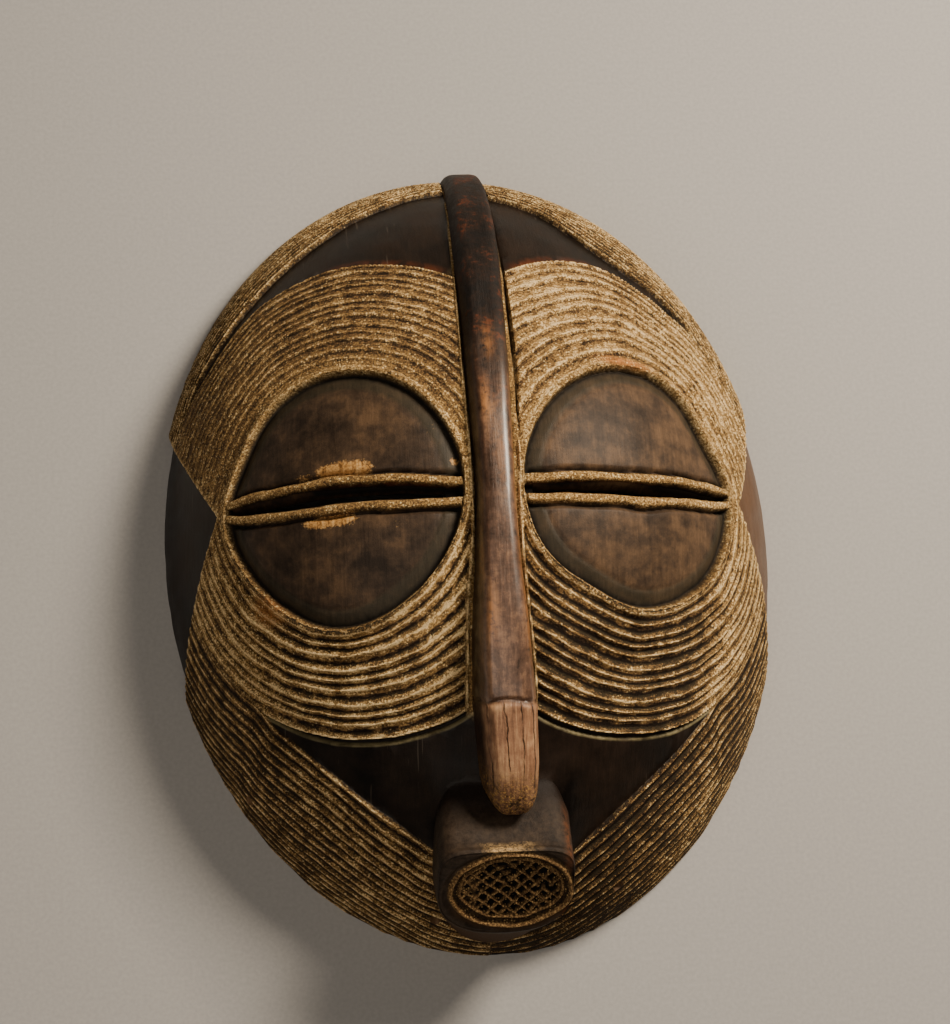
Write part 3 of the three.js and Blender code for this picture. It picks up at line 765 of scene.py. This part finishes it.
# bright sand grains with painted glints among them
def sandGrainsAndGlints(add, place, size, width, rarity):  # drawn coarser than real sand, so that it shows
    cells = {"Vector": place, "Scale": 1 / (size * mm)}
    near = add("Math", add("TexVoronoi", cells), width, operation="LESS_THAN")
    chosen = add("SeparateColor", add("TexVoronoi", cells, output=1))
    return add("Math", near, add("Math", chosen, rarity, operation="GREATER_THAN"), operation="MULTIPLY")


def finishMaterial(
        add, colour, roughness, relief, reliefHeight, strength=0.6, specular=0.5, wax=0.0, waxRoughness=0.3):
    bump = add("Bump", {"Height": relief, "Distance": reliefHeight * mm, "Strength": strength})
    shader = add("BsdfPrincipled", {
        "Base Color": colour, "Roughness": roughness, "Normal": bump, "IOR": 1.5,
        "Coat Weight": wax, "Coat Roughness": waxRoughness, "Specular IOR Level": specular,
    })
    add("OutputMaterial", {"Surface": shader})


# Oiled and smoked face wood, with ochre earth rubbed into the grooves: the pale bands read first
faceLook = {
    "woodDark": "#0f0b08", "woodMid": "#271c14", "woodRed": "#5e3018", "panelRight": "#5c3f26",
    "lidDark": "#2a211a", "lid": "#433529", "lidBlotch": "#624c38", "bevel": "#353126",
    "earthBlack": "#1a1008", "earthBrown": "#4d3925", "earthOchre": "#7f613b", "earthTan": "#b38e55",
    "earthCream": "#f1d39d", "olive": "#5c5138", "orange": "#c47d40", "speck": "#ffe3a6",
    "bareDark": "#5f3d1c", "bare": "#bd8c50", "bareLight": "#ecc486",
    "lipLine": "#857a58", "scratch": "#6f655a", "paintedShade": "#0b0806",
    "pigmentRoughness": 0.8, "oilRoughness": 0.4, "lidRoughness": 0.5, "paintedShadeRoughness": 0.95,
    "specular": 0.19,
    # mottling, patches, grit and fine grit as mm, detail, roughness; both grits are coarser than real earth
    "patterns": ((26.3, 6, 0.62), (9.09, 5, 0.65), (1.176, 6, 0.72), (0.667, 4, 0.7)),
    "grain": 1.613, "scratchWidth": 1.786, "sand": 1.176,  # mm, coarser than real ones, so that they show
    "groovePitch": 5.0, "streakWidth": 0.625, "streakDraw": 0.14,  # streaks in the pigment, along each groove
}


def faceMaterial():
    look = faceLook
    material, add, place, painted, patterns = newMaterial(
        "oiledWoodWithRubbedEarthPigment", look,
        "turn cover lane earth contrast valleyAt lid bevel soot "
        "panel nearPanel cavity worn warm orange pastLip low")
    turn, cover, lane, earth, contrast, valleyAt, lid, bevel, soot = painted[:9]
    panel, nearPanel, cavity, worn, warm, orange, pastLip, low = painted[9:]
    mottle, patch, grit, fine = patterns
    grain = longGrain(add, place, look["grain"], 0.08)

    # dark wood: slow mottling, fine grain along the mask, blotched lids, bare temple panels; painted light
    # makes the right lids lighter than the left, and the right panel a lighter brown, partly its own colour
    wood = add("ValToRGB", mottle, stops=[(0.36, look["woodDark"]), (0.68, look["woodMid"])])
    blotch = add("Math", patch, 0.55, operation="MULTIPLY")
    blotch = add("Math", add("Math", mottle, 0.45, operation="MULTIPLY"), blotch, operation="ADD")
    blotch = add("Math", blotch, add("MapRange", warm, 0.0, 1.0, -0.012, 0.03), operation="ADD")
    blotch = add("ValToRGB", blotch, stops=[
        (0.36, look["lidDark"]), (0.49, look["lid"]), (0.62, look["lidBlotch"])])
    wood = add("Mix", {0: lid, 6: wood, 7: blotch}, **inColour)
    # painted sheen: a grey-green tint on the lids' bevel
    share = add("Math", bevel, 0.7, operation="MULTIPLY")
    wood = add("Mix", {0: share, 6: wood, 7: look["bevel"]}, **inColour)
    share = add("Math", panel, warm, operation="MULTIPLY")
    wood = add("Mix", {0: share, 6: wood, 7: look["panelRight"]}, **inColour)
    red = add("MapRange", pastLip, 7.0, 1.5)
    red = add("Math", red, add("MapRange", patch, 0.38, 0.58), operation="MULTIPLY")
    red = add("Math", red, add("Math", 1.0, low, operation="SUBTRACT"), operation="MULTIPLY")
    wood = add("Mix", {0: red, 6: wood, 7: look["woodRed"]}, **inColour)
    fibre = add("Math", grain, add("Math", fine, 0.5, operation="MULTIPLY"), operation="ADD")
    fibre = add("MapRange", fibre, 0.45, 1.05, 0.62, 1.34)
    fibre = add("CombineColor", fibre, fibre, fibre)
    wood = add("Mix", {0: 1.0, 6: wood, 7: fibre}, blend_type="MULTIPLY", **inColour)
    scratch = add("MapRange", longGrain(add, place, look["scratchWidth"], 0.025, 2), 0.69, 0.73, 0.0, 0.28)
    scratch = add("Math", scratch, add("Math", 1.0, lid, operation="SUBTRACT"), operation="MULTIPLY")
    wood = add("Mix", {0: scratch, 6: wood, 7: look["scratch"]}, **inColour)

    # bare worn wood, with short open grain
    bare = add("Math", grit, 0.55, add("Math", grain, 0.45, operation="MULTIPLY"), operation="MULTIPLY_ADD")
    bare = add("ValToRGB", bare, stops=[
        (0.38, look["bareDark"]), (0.5, look["bare"]), (0.68, look["bareLight"])])
    share = add("Math", worn, add("Math", grit, 0.5, operation="SUBTRACT"), operation="ADD")
    wood = add("Mix", {0: add("MapRange", share, 0.42, 0.62), 6: wood, 7: bare}, **inColour)

    # a dusty line on the lip under the cheek
    lipLine = add("Math", add("Math", pastLip, 1.0, operation="SUBTRACT"), operation="ABSOLUTE")
    lipLine = add("MapRange", lipLine, 0.3, 1.1, 1.0, 0.0)
    lipLine = add("Math", lipLine, add("MapRange", patch, 0.35, 0.6, 0.15, 0.75), operation="MULTIPLY")
    lipLine = add("Math", lipLine, add("Math", 1.0, panel, operation="SUBTRACT"), operation="MULTIPLY")
    lipLine = add("Math", lipLine, low, operation="MULTIPLY")
    wood = add("Mix", {0: lipLine, 6: wood, 7: look["lipLine"]}, **inColour)

    # where a place lies between two crests: 0 on a crest, 1 in the cut
    acrossLane = add("Math", turn, look["groovePitch"], operation="MULTIPLY")  # in mm
    alongLane = add("Math", lane, look["streakDraw"], operation="MULTIPLY")
    lanePlace = add("CombineXYZ", acrossLane, alongLane)
    streaks = add("TexNoise", {
        "Vector": lanePlace, "Scale": 1 / look["streakWidth"], "Detail": 4, "Roughness": 0.6})
    part = add("Math", turn, add("MapRange", fine, 0.3, 0.7, -0.07, 0.07), operation="ADD")
    part = add("Math", part, operation="FRACT")
    inner = add("Math", 1.0, part, operation="SUBTRACT")
    inner = add("Math", inner, add("Math", 1.0, valleyAt, operation="SUBTRACT"), operation="DIVIDE")
    deep = add("Math", add("Math", part, valleyAt, operation="DIVIDE"), inner, operation="MINIMUM")
    ramp = add("Math", inner, 1.0, operation="LESS_THAN")
    ramp = add("Math", ramp, add("MapRange", deep, 0.15, 0.35), operation="MULTIPLY")
    # painted highlight along each crest, where the earth is also thicker
    crest = add("Math", deep, add("MapRange", grit, 0.35, 0.65, -0.08, 0.08), operation="ADD")
    crest = add("MapRange", crest, 0.23, 0.05)
    crest = add("Math", crest, add("MapRange", streaks, 0.34, 0.5, 0.25, 1.0), operation="MULTIPLY")
    # painted shade down in each cut, where the earth is also worn away
    cut = add("Math", deep, add("MapRange", grit, 0.3, 0.7, -0.1, 0.1), operation="ADD")
    cut = add("MapRange", cut, 0.6, 0.9)
    cutShadeStrength = add("Math", contrast, add("MapRange", streaks, 0.36, 0.58, 1.3, 0.75), operation="MULTIPLY")
    cut = add("Math", cut, cutShadeStrength, operation="MULTIPLY")

    # earth pigment: granular; lighter along the crests, partly thicker earth and partly painted highlight,
    # and darker down in the cuts, partly earth worn away and partly painted shade
    tone = add("MapRange", add("Math", fine, 0.9, grit, operation="MULTIPLY_ADD"), 0.75, 1.15, -0.3, 0.3)
    tone = add("Math", earth, tone, operation="ADD")
    share = add("Math", contrast, 0.4, operation="ADD")
    tone = add("Math", add("MapRange", patch, 0.35, 0.65, -0.2, 0.2), share, tone, operation="MULTIPLY_ADD")
    tone = add("Math", tone, add("MapRange", streaks, 0.35, 0.65, -0.15, 0.15), operation="ADD")
    # painted shade, darker down the flanks towards the cut
    share = add("Math", contrast, -0.12, operation="MULTIPLY")
    tone = add("Math", add("MapRange", deep, 0.12, 0.45), share, tone, operation="MULTIPLY_ADD")
    share = add("Math", contrast, 0.34, 0.13, operation="MULTIPLY_ADD")
    tone = add("Math", crest, share, tone, operation="MULTIPLY_ADD")
    tone = add("Math", cut, -0.64, tone, operation="MULTIPLY_ADD")
    tone = add("Math", nearPanel, 0.5, tone, operation="MULTIPLY_ADD")
    pigment = add("ValToRGB", tone, stops=[
        (0.05, look["earthBlack"]), (0.3, look["earthBrown"]), (0.52, look["earthOchre"]),
        (0.76, look["earthTan"]), (1.0, look["earthCream"])])
    share = add("Math", ramp, contrast, operation="MULTIPLY")
    share = add("Math", share, add("MapRange", grit, 0.4, 0.6, 0.45, 0.05), operation="MULTIPLY")
    pigment = add("Mix", {0: share, 6: pigment, 7: look["olive"]}, **inColour)
    shade = add("MapRange", add("Math", fine, 0.6, grit, operation="MULTIPLY_ADD"), 0.6, 1.0, 0.62, 1.3)
    shade = add("CombineColor", shade, shade, shade)
    pigment = add("Mix", {0: 1.0, 6: pigment, 7: shade}, blend_type="MULTIPLY", **inColour)
    share = add("Math", orange, add("MapRange", grit, 0.4, 0.6, 0.3, 1.0), operation="MULTIPLY")
    pigment = add("Mix", {0: share, 6: pigment, 7: look["orange"]}, **inColour)
    colour = add("Mix", {0: cover, 6: wood, 7: pigment}, **inColour)

    # bright sand grains with painted glints in the pigment, then painted shade in the hollows, in the slits
    # and just inside the eyes' rims
    share = add("Math", cover, add("MapRange", tone, 0.25, 0.6), operation="MULTIPLY")
    speck = add("Math", sandGrainsAndGlints(add, place, look["sand"], 0.42, 0.82), share, operation="MULTIPLY")
    share = add("Math", speck, 0.85, operation="MULTIPLY")
    colour = add("Mix", {0: share, 6: colour, 7: look["speck"]}, **inColour)
    # painted shade: the hollows, found from the blurred height, and the eyes' slits and rims go nearly black
    paintedShade = add("Math", add("MapRange", cavity, -2.6, -0.6, 0.8, 0.0), soot, operation="MAXIMUM")
    colour = add("Mix", {0: paintedShade, 6: colour, 7: look["paintedShade"]}, **inColour)

    roughness = add("MapRange", mottle, 0.3, 0.7, look["oilRoughness"] - 0.08, look["oilRoughness"] + 0.1)
    roughness = add("Mix", {0: lid, 2: roughness, 3: look["lidRoughness"]})
    roughness = add("Mix", {0: cover, 2: roughness, 3: look["pigmentRoughness"]})
    roughness = add("Mix", {0: paintedShade, 2: roughness, 3: look["paintedShadeRoughness"]})
    relief = add("Math", cover, add("Math", fine, 0.5, grit, operation="MULTIPLY_ADD"), operation="MULTIPLY")
    relief = add("Math", grain, 0.22, relief, operation="MULTIPLY_ADD")
    relief = add("Math", fine, 0.16, relief, operation="MULTIPLY_ADD")
    relief = add("Math", speck, 0.4, relief, operation="MULTIPLY_ADD")
    share = add("Math", streaks, cover, operation="MULTIPLY")
    relief = add("Math", share, 0.5, relief, operation="MULTIPLY_ADD")
    finishMaterial(add, colour, roughness, relief, 0.9, strength=0.8, specular=look["specular"])
    return material


# Ridge and nose: handled smooth and waxed, nearly black where oiled, red where rubbed, pale at the nose;
# painted shade on the flanks and under the tip, painted light along the right shoulder
ridgeLook = {
    "dark": "#0f0a07", "brown": "#22150d", "red": "#552a14", "shoulder": "#a8703c",
    "handledDark": "#33241a", "handled": "#604636", "handledLight": "#947053", "flank": "#1f130d",
    "noseDark": "#523829", "nose": "#936b4f", "noseLight": "#cba178", "gold": "#d4a255", "crack": "#160d07",
    "roughness": 0.42, "wax": 1.0, "waxRoughness": 0.27, "specular": 0.28,
    "cracks": (-0.62, -0.12, 0.3, 0.66),  # across the nose, as parts of its half width
    # mottling, small blotches and grit: mm, detail, roughness
    "patterns": ((14.29, 7, 0.66), (3.846, 6, 0.7), (1.316, 6, 0.8)),
    "grain": 1.429, "streak": 8.333, "crackWander": 11.11,  # mm; the grain is coarser than real, to show
}


def ridgeMaterial():
    look = ridgeLook
    material, add, place, painted, patterns = newMaterial(
        "handledRidgeWood", look, "nose tip rub handled flank across nick")
    nose, tip, rub, handled, flank, across, nick = painted
    mottle, small, grit = patterns
    grain = longGrain(add, place, look["grain"], 0.06)
    streak = longGrain(add, place, look["streak"], 0.18, 6)
    tone = add("Math", small, 0.5, add("Math", mottle, 0.6, operation="MULTIPLY"), operation="MULTIPLY_ADD")
    colour = add("ValToRGB", tone, stops=[(0.46, look["dark"]), (0.58, look["brown"]), (0.66, look["red"])])
    tone = add("Math", small, 0.35, add("Math", streak, 0.65, operation="MULTIPLY"), operation="MULTIPLY_ADD")
    paler = add("ValToRGB", tone, stops=[
        (0.38, look["handledDark"]), (0.5, look["handled"]), (0.62, look["handledLight"])])
    colour = add("Mix", {0: handled, 6: colour, 7: paler}, **inColour)
    # rubbed red-brown patches, and a stripe of painted light down the right shoulder
    share = add("Math", rub, add("MapRange", small, 0.36, 0.5), operation="MULTIPLY")
    colour = add("Mix", {0: share, 6: colour, 7: look["shoulder"]}, **inColour)
    tone = add("Math", mottle, 0.5, add("Math", grain, 0.5, operation="MULTIPLY"), operation="MULTIPLY_ADD")
    noseColour = add("ValToRGB", tone, stops=[
        (0.36, look["noseDark"]), (0.5, look["nose"]), (0.66, look["noseLight"])])
    colour = add("Mix", {0: nose, 6: colour, 7: noseColour}, **inColour)
    # painted shade on the flanks and under the nose tip, and a dark nick
    share = add("Math", flank, nick, operation="MAXIMUM")
    colour = add("Mix", {0: share, 6: colour, 7: look["flank"]}, **inColour)

    # drying cracks run up the nose, each a little off its line
    slow = add("Mapping", {"Vector": place, "Scale": (1, 0.6, 0.6)})
    slow = add("TexNoise", {
        "Vector": slow, "Scale": 1 / (look["crackWander"] * mm), "Detail": 4, "Roughness": 0.6})
    wandered = add("Math", across, add("MapRange", slow, 0.3, 0.7, -0.06, 0.06), operation="ADD")
    crack = 9.0
    for line in look["cracks"]:
        off = add("Math", add("Math", wandered, line, operation="SUBTRACT"), operation="ABSOLUTE")
        crack = add("Math", crack, off, operation="MINIMUM")
    crack = add("MapRange", crack, 0.006, 0.03, 1.0, 0.0)
    crack = add("Math", crack, add("MapRange", streak, 0.42, 0.52), operation="MULTIPLY")
    crack = add("Math", crack, nose, operation="MULTIPLY")

    # the nose's tip is darkened, with gold and black spots
    gold = add("Math", tip, add("MapRange", grit, 0.5, 0.62), operation="MULTIPLY")
    spot = add("Math", tip, add("MapRange", small, 0.48, 0.4), operation="MULTIPLY")
    for share, part, over in (
            (crack, 0.85, "crack"), (tip, 0.6, "noseDark"), (gold, 1.0, "gold"), (spot, 0.8, "crack")):
        share = share if part == 1.0 else add("Math", share, part, operation="MULTIPLY")
        colour = add("Mix", {0: share, 6: colour, 7: look[over]}, **inColour)

    roughness = add("MapRange", small, 0.3, 0.7, look["roughness"] - 0.1, look["roughness"] + 0.14)
    roughness = add("Math", roughness, add("MapRange", handled, 0.0, 0.7, 0.2, 0.0), operation="ADD")
    wax = add("Math", handled, add("Math", 1.0, nose, operation="SUBTRACT"), operation="MULTIPLY")
    wax = add("Math", wax, look["wax"], operation="MULTIPLY")
    wax = add("Math", wax, add("MapRange", streak, 0.36, 0.54, 0.35, 1.0), operation="MULTIPLY")
    relief = add("Math", add("Math", crack, -2.0, grain, operation="MULTIPLY_ADD"), gold, operation="ADD")
    relief = add("Math", small, 0.8, relief, operation="MULTIPLY_ADD")
    finishMaterial(
        add, colour, roughness, relief, 0.5, specular=look["specular"],
        wax=wax, waxRoughness=look["waxRoughness"])
    return material


# Muzzle: dark oiled wood, rubbed red at its edges, with a painted highlight on the lip and painted shade down
# its right side; earth pigment on the mouth's ribs
muzzleLook = {
    "dark": "#231a13", "brown": "#43362a", "red": "#6b4026", "face": "#1c130d", "under": "#46301a",
    "ribDark": "#2b1f14", "rib": "#694e30", "ribLight": "#c09c66", "pit": "#0b0705", "lip": "#dbb57c",
    "roughness": 0.54, "mattRoughness": 0.85, "specular": 0.2,
    # mottling, small blotches and grit: mm, detail, roughness
    "patterns": ((13.33, 7, 0.65), (3.333, 6, 0.7), (1.111, 6, 0.75)),
    "sand": 1.111,  # mm
}


def muzzleMaterial():
    look = muzzleLook
    material, add, place, painted, patterns = newMaterial(
        "oiledMuzzleWood", look, "mouth rib lip edge under rise")
    mouth, rib, lip, edge, under, rise = painted
    mottle, small, fine = patterns
    tone = add("Math", small, 0.45, add("Math", mottle, 0.55, operation="MULTIPLY"), operation="MULTIPLY_ADD")
    colour = add("ValToRGB", tone, stops=[(0.38, look["dark"]), (0.62, look["brown"])])
    rubbed = add("Math", edge, add("MapRange", small, 0.38, 0.58), operation="MULTIPLY")
    # painted highlight: a pale patch along the lip
    lipHighlight = add("MapRange", add("Math", small, 0.6, fine, operation="MULTIPLY_ADD"), 0.7, 0.88)
    lipHighlight = add("Math", lip, lipHighlight, operation="MULTIPLY")
    ribColour = add("ValToRGB", fine, stops=[
        (0.36, look["ribDark"]), (0.5, look["rib"]), (0.66, look["ribLight"])])
    mouthColour = add("Mix", {0: rib, 6: look["pit"], 7: ribColour}, **inColour)
    # bright sand grains with painted glints on the mouth's ribs
    speck = add("Math", sandGrainsAndGlints(add, place, look["sand"], 0.36, 0.8), mouth, operation="MULTIPLY")
    speck = add("Math", speck, 0.7, operation="MULTIPLY")
    for share, over in (
            (rubbed, look["red"]), (rise, look["face"]), (lipHighlight, look["lip"]), (under, look["under"]),
            (mouth, mouthColour), (speck, look["ribLight"])):
        colour = add("Mix", {0: share, 6: colour, 7: over}, **inColour)
    matt = add("Math", mouth, under, operation="MAXIMUM")
    roughness = add("Mix", {0: matt, 2: look["roughness"], 3: look["mattRoughness"]})
    relief = add("Math", small, 0.8, fine, operation="MULTIPLY_ADD")
    finishMaterial(add, colour, roughness, relief, 0.5, specular=look["specular"])
    return material


# Back: adzed wood, darkened by handling but never oiled
backLook = {
    "dark": "#2f2115", "mid": "#5d432b", "light": "#7d5f40", "slot": "#070504",
    "patterns": ((45.45, 6, 0.6),), "grain": 2.381,  # mm
}


def backMaterial():
    look = backLook
    material, add, place, (slitWallShade,), (mottle,) = newMaterial("adzedBackWood", look, "slitWallShade")
    grain = longGrain(add, place, look["grain"], 0.05, 6)
    tone = add("Math", add("Math", mottle, grain, operation="ADD"), 0.5, operation="MULTIPLY")
    colour = add("ValToRGB", tone, stops=[(0.38, look["dark"]), (0.5, look["mid"]), (0.6, look["light"])])
    # painted shade: the slit's walls go nearly black
    slot = add("Math", add("Math", slitWallShade, 2.0, operation="MULTIPLY"), 1.0, operation="MINIMUM")
    colour = add("Mix", {0: slot, 6: colour, 7: look["slot"]}, **inColour)
    finishMaterial(add, colour, add("MapRange", grain, 0.0, 1.0, 0.6, 0.85), grain, 0.6)
    return material


def blurred(field, width):
    reach = int(width * 2.5)
    weights = np.exp(-0.5 * (np.arange(-reach, reach + 1) / width) ** 2)
    weights /= weights.sum()
    for axis in (0, 1):
        padded = np.pad(field, [(reach, reach) if a == axis else (0, 0) for a in (0, 1)], mode="edge")
        rows = field.shape[axis]
        field = sum(w * np.take(padded, range(k, k + rows), axis) for k, w in enumerate(weights))
    return field


def sampled(field, across, along, u, v):
    x = np.clip((u - across[0]) / gridStep, 0, len(across) - 2)
    y = np.clip((v - along[0]) / gridStep, 0, len(along) - 2)
    i, j = x.astype(int), y.astype(int)
    low = mix(field[i, j], field[i + 1, j], x - i)
    high = mix(field[i, j + 1], field[i + 1, j + 1], x - i)
    return mix(low, high, y - j)


# Places on the face, worn or stained with orange earth: across, along, half width, half height, strength
spots = {
    "worn": (
        (-69, 14.5, 15, 4.2, 1.0), (-77, -7.5, 15, 3.2, 0.9), (-46, -11, 5, 3, 0.5),
        (-28, 30, 4, 9, 0.35), (68, 66, 10, 3.5, 0.6), (-17.5, 14.5, 2.4, 2.4, 0.8), (-90, 14, 6, 2.4, 0.55),
    ),
    "orange": ((72, 65.5, 14, 2.6, 1.0), (-115, -44, 9, 7, 0.55)),
    "ridgeRubs": (  # along, beside the middle as a part of the half width, strength
        (36, -0.25, 1.0), (66, 0.0, 0.6), (14, 0.3, 0.6),
        (-52, -0.35, 0.9), (-30, -0.8, 0.8), (-60, 0.85, 0.8),
    ),
    "cavityWidth": 3.2,  # mm, width of the blur that finds the hollows
}


def faceValues(u, v, height, grid):
    across, along, lift = grid
    carved = carve(u, v)
    values = {name: carved[name] for name in (
        "turn", "cover", "lane", "earth", "contrast", "valleyAt",
        "lid", "bevel", "soot", "panel", "nearPanel", "pastLip")}
    # painted shade on the slit's walls
    values["slitWallShade"] = carved["slot"] * step(-12.4, -10, height)
    # painted shade: how far each place lies below its blurred surroundings, to darken the hollows
    values["cavity"] = sampled(lift - blurred(lift, spots["cavityWidth"] / gridStep), across, along, u, v)
    values["earth"] = values["earth"] + (softNoise(u, v, 30, 51) - 0.5) * 0.16
    worn, orange = np.zeros_like(u), np.zeros_like(u)
    for su, sv, wide, high, strength in spots["worn"]:
        worn = np.maximum(worn, strength * np.exp(-((u - su) / wide) ** 4 - ((v - sv) / high) ** 2))
    for su, sv, wide, high, strength in spots["orange"]:
        orange = np.maximum(orange, strength * np.exp(-((u - su) / wide) ** 4 - ((v - sv) / high) ** 4))
    values["worn"] = worn * (1 - values["cover"])
    low = np.maximum(step(0, -30, v), 1 - step(88, 66, np.abs(u)) * step(12, 24, np.abs(u)))
    values["low"] = np.maximum(low, step(0.01, 0.05, values["lid"]))
    # painted light: lighter lids on the right, and a lighter right temple panel that is partly its own colour
    values["warm"] = (u > 0) * 1.0
    values["orange"] = orange
    return values


def ridgeValues(u, v):
    beside = (u - ridgeAt(v, 3)) / ridgeAt(v, 1)
    # painted light with rubbing: a stripe down the right shoulder; the listed spots are rubbed wood
    rub = np.exp(-((beside - 0.86) / 0.14) ** 2) * step(60, 0, v) * step(-80, -60, v) * 0.7
    for along, middle, strength in spots["ridgeRubs"]:
        rub = np.maximum(rub, strength * np.exp(-((v - along) / 8) ** 2 - ((beside - middle) / 0.15) ** 2))
    # painted shade down the left flank, along the right foot and under the nose tip
    flank = np.maximum(step(-0.6, -0.84, beside), step(0.93, 1.0, beside) * step(10, -30, v) * 0.5) * 0.92
    return {
        "nose": step(-0.4, -1.6, v - ridge["noseLine"] + ridge["lineBend"] * beside ** 2),
        "across": beside,
        "tip": step(-110, -127, v),
        "rub": rub,
        "handled": step(85, 20, v) * mix(0.75, 1, step(20, -40, v)),
        "flank": np.maximum(flank, step(-141, -145.5, v) * 0.9),
        "nick": np.exp(-((v + 41.8) / 1.4) ** 2 - ((beside + 0.62) / 0.1) ** 2),
    }


def muzzleValues(points):
    x, y, out = muzzlePlace(points)
    mx, my = muzzle["mouthMiddle"]
    ring = np.hypot((x - mx) / (muzzle["outerRing"][0] + 1.2), (y - my) / (muzzle["outerRing"][1] + 1.2))
    # painted highlight along the lip's middle
    lipHighlight = np.maximum(np.exp(-((x + 2.5) / 7) ** 4), 0.35 * np.exp(-((x - 9) / 4) ** 4))
    return {
        "mouth": step(1.03, 0.99, ring) * (out > -6),
        "rib": step(-2.3, -1.2, out),
        "lip": lipHighlight * np.exp(-((y - muzzle["halfHeight"] - 0.3) / 1.7) ** 2) * (out > -6),
        "edge": np.exp(-((x - 29) / 1.8) ** 2) * (out < 0) * 0.8,
        # dark face wood where the muzzle runs into the face, and painted shade down its right side
        "rise": np.maximum(step(-13, -32, out), step(30.5, 31.5, x) * (y < 60)),
        "under": step(-0.5, -3, out) * step(-6, -16, y),
    }


def paint(piece, grid):  # the values that the materials read, at every point of the mesh
    points = np.empty(len(piece.data.vertices) * 3, np.float32)
    piece.data.vertices.foreach_get("co", points)
    points = points.reshape(-1, 3).astype(float) / mm
    u, v, height = placeOnFace(points)
    values = {**faceValues(u, v, height, grid), **ridgeValues(u, v), **muzzleValues(points)}
    for name, value in values.items():
        attribute = piece.data.attributes.new(name, "FLOAT", "POINT")
        attribute.data.foreach_set("value", np.asarray(value, np.float32))


def makeMask():
    mask, grid = carvedDome()
    print("carved dome:", len(mask.data.polygons), "faces")
    face, ridgeWood, muzzleWood, back = faceMaterial(), ridgeMaterial(), muzzleMaterial(), backMaterial()
    turnedOut(mask)
    mask.data.materials.append(face)
    combine(mask, [
        (ridgeBar(), "UNION", ridgeWood),
        (muzzleBlock(), "UNION", muzzleWood),
        (hollowCutter(), "DIFFERENCE", back),
        *((slitCutter(side), "DIFFERENCE", back) for side in sides),
        *((holeCutter(place), "DIFFERENCE", back) for place in marks["rimHoles"]),
        (lowerBlock(), "DIFFERENCE", back),
    ])
    print("joined and cut:", len(mask.data.polygons), "faces")
    mask.data.calc_loop_triangles()
    triangles = len(mask.data.loop_triangles)
    if triangles > triangleTarget:
        thinner = mask.modifiers.new("thinner", "DECIMATE")
        thinner.ratio = triangleTarget / triangles
        settle(mask)
    print("thinned:", len(mask.data.polygons), "faces", [m.name for m in mask.data.materials])
    paint(mask, grid)
    mask.data.shade_smooth()
    mask.data.set_sharp_from_angle(angle=50 * degree)
    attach(mask, "root")
    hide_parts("mask")


makeMask()
print("mask made")

# Where the photograph was taken from
view = {
    "turn": 0.10408, "nod": -0.24435, "roll": 0.05036,  # radians, about y, x and z
    "distance": 1300.0, "shift": (2.44633, -8.25706), "height": 60.0,  # mm
    "focalLength": 2645.46667, "pictureHeight": 1024,  # pixels
}


def placeCamera():
    turn, nod, roll = (
        Matrix.Rotation(view[name], 3, axis) for name, axis in (("turn", "Y"), ("nod", "X"), ("roll", "Z")))
    seen = roll @ nod @ turn
    target = Vector((0, -dome["middle"], view["height"]))
    place = target + seen.transposed() @ Vector((-view["shift"][0], -view["shift"][1], view["distance"]))
    data = bpy.data.cameras.new("camera")
    data.sensor_fit, data.sensor_height = "VERTICAL", 36
    data.lens = view["focalLength"] * 36 / view["pictureHeight"]
    camera = bpy.data.objects.new("camera", data)
    camera.matrix_world = Matrix.Translation(place * mm) @ seen.transposed().to_4x4()
    bpy.context.scene.collection.objects.link(camera)
    bpy.context.scene.camera = camera


# Studio: a small warm key from the upper right, a broad weak fill, a dim room and a pale matt floor
studio = {
    "key": {
        "place": (0.72, 0.58, 1.05), "target": (0, 0, 0.06), "size": 0.4, "power": 29, "colour": "#ffefd9"},
    "fill": {
        "place": (-0.4, -0.55, 1.35), "target": (0, 0, 0), "size": 1.2, "power": 6.5, "colour": "#fff2e2"},
    "room": "#cdc6bc", "roomStrength": 0.07,
    "floorDark": "#a9a7a5", "floorLight": "#b2b0ad", "floorReach": 3000,
    "patterns": ((2.0, 3, 0.5),),  # the floor's fine tooth: mm, detail, roughness
}


def addLight(name, place, target, size, power, colour):
    data = bpy.data.lights.new(name, "AREA")
    data.shape, data.size, data.size_y = "RECTANGLE", size, size
    data.energy, data.color = power, linear(colour)[:3]
    light = bpy.data.objects.new(name, data)
    light.location = place
    light.rotation_euler = (Vector(target) - Vector(place)).to_track_quat("-Z", "Y").to_euler()
    bpy.context.scene.collection.objects.link(light)


def makeFloor():
    material, add, _, _, (tooth,) = newMaterial("paleMattFloor", studio, "")
    colour = add("ValToRGB", tooth, stops=[(0.3, studio["floorDark"]), (0.7, studio["floorLight"])])
    finishMaterial(add, colour, 0.9, tooth, 0.2, strength=0.2)
    corners = np.array([(-1.0, -1.0, 0.0), (1.0, -1.0, 0.0), (1.0, 1.0, 0.0), (-1.0, 1.0, 0.0)])
    floor = meshObject("floor", corners * studio["floorReach"], [[0, 1, 2, 3]])
    floor.data.materials.append(material)


def lightRoom():
    world = bpy.data.worlds.new("studio")
    world.use_nodes = True
    background = world.node_tree.nodes["Background"].inputs
    background["Color"].default_value = linear(studio["room"])
    background["Strength"].default_value = studio["roomStrength"]
    bpy.context.scene.world = world


placeCamera()
makeFloor()
for name in ("key", "fill"):
    addLight(name, **studio[name])
lightRoom()
print("camera, floor and lights placed")
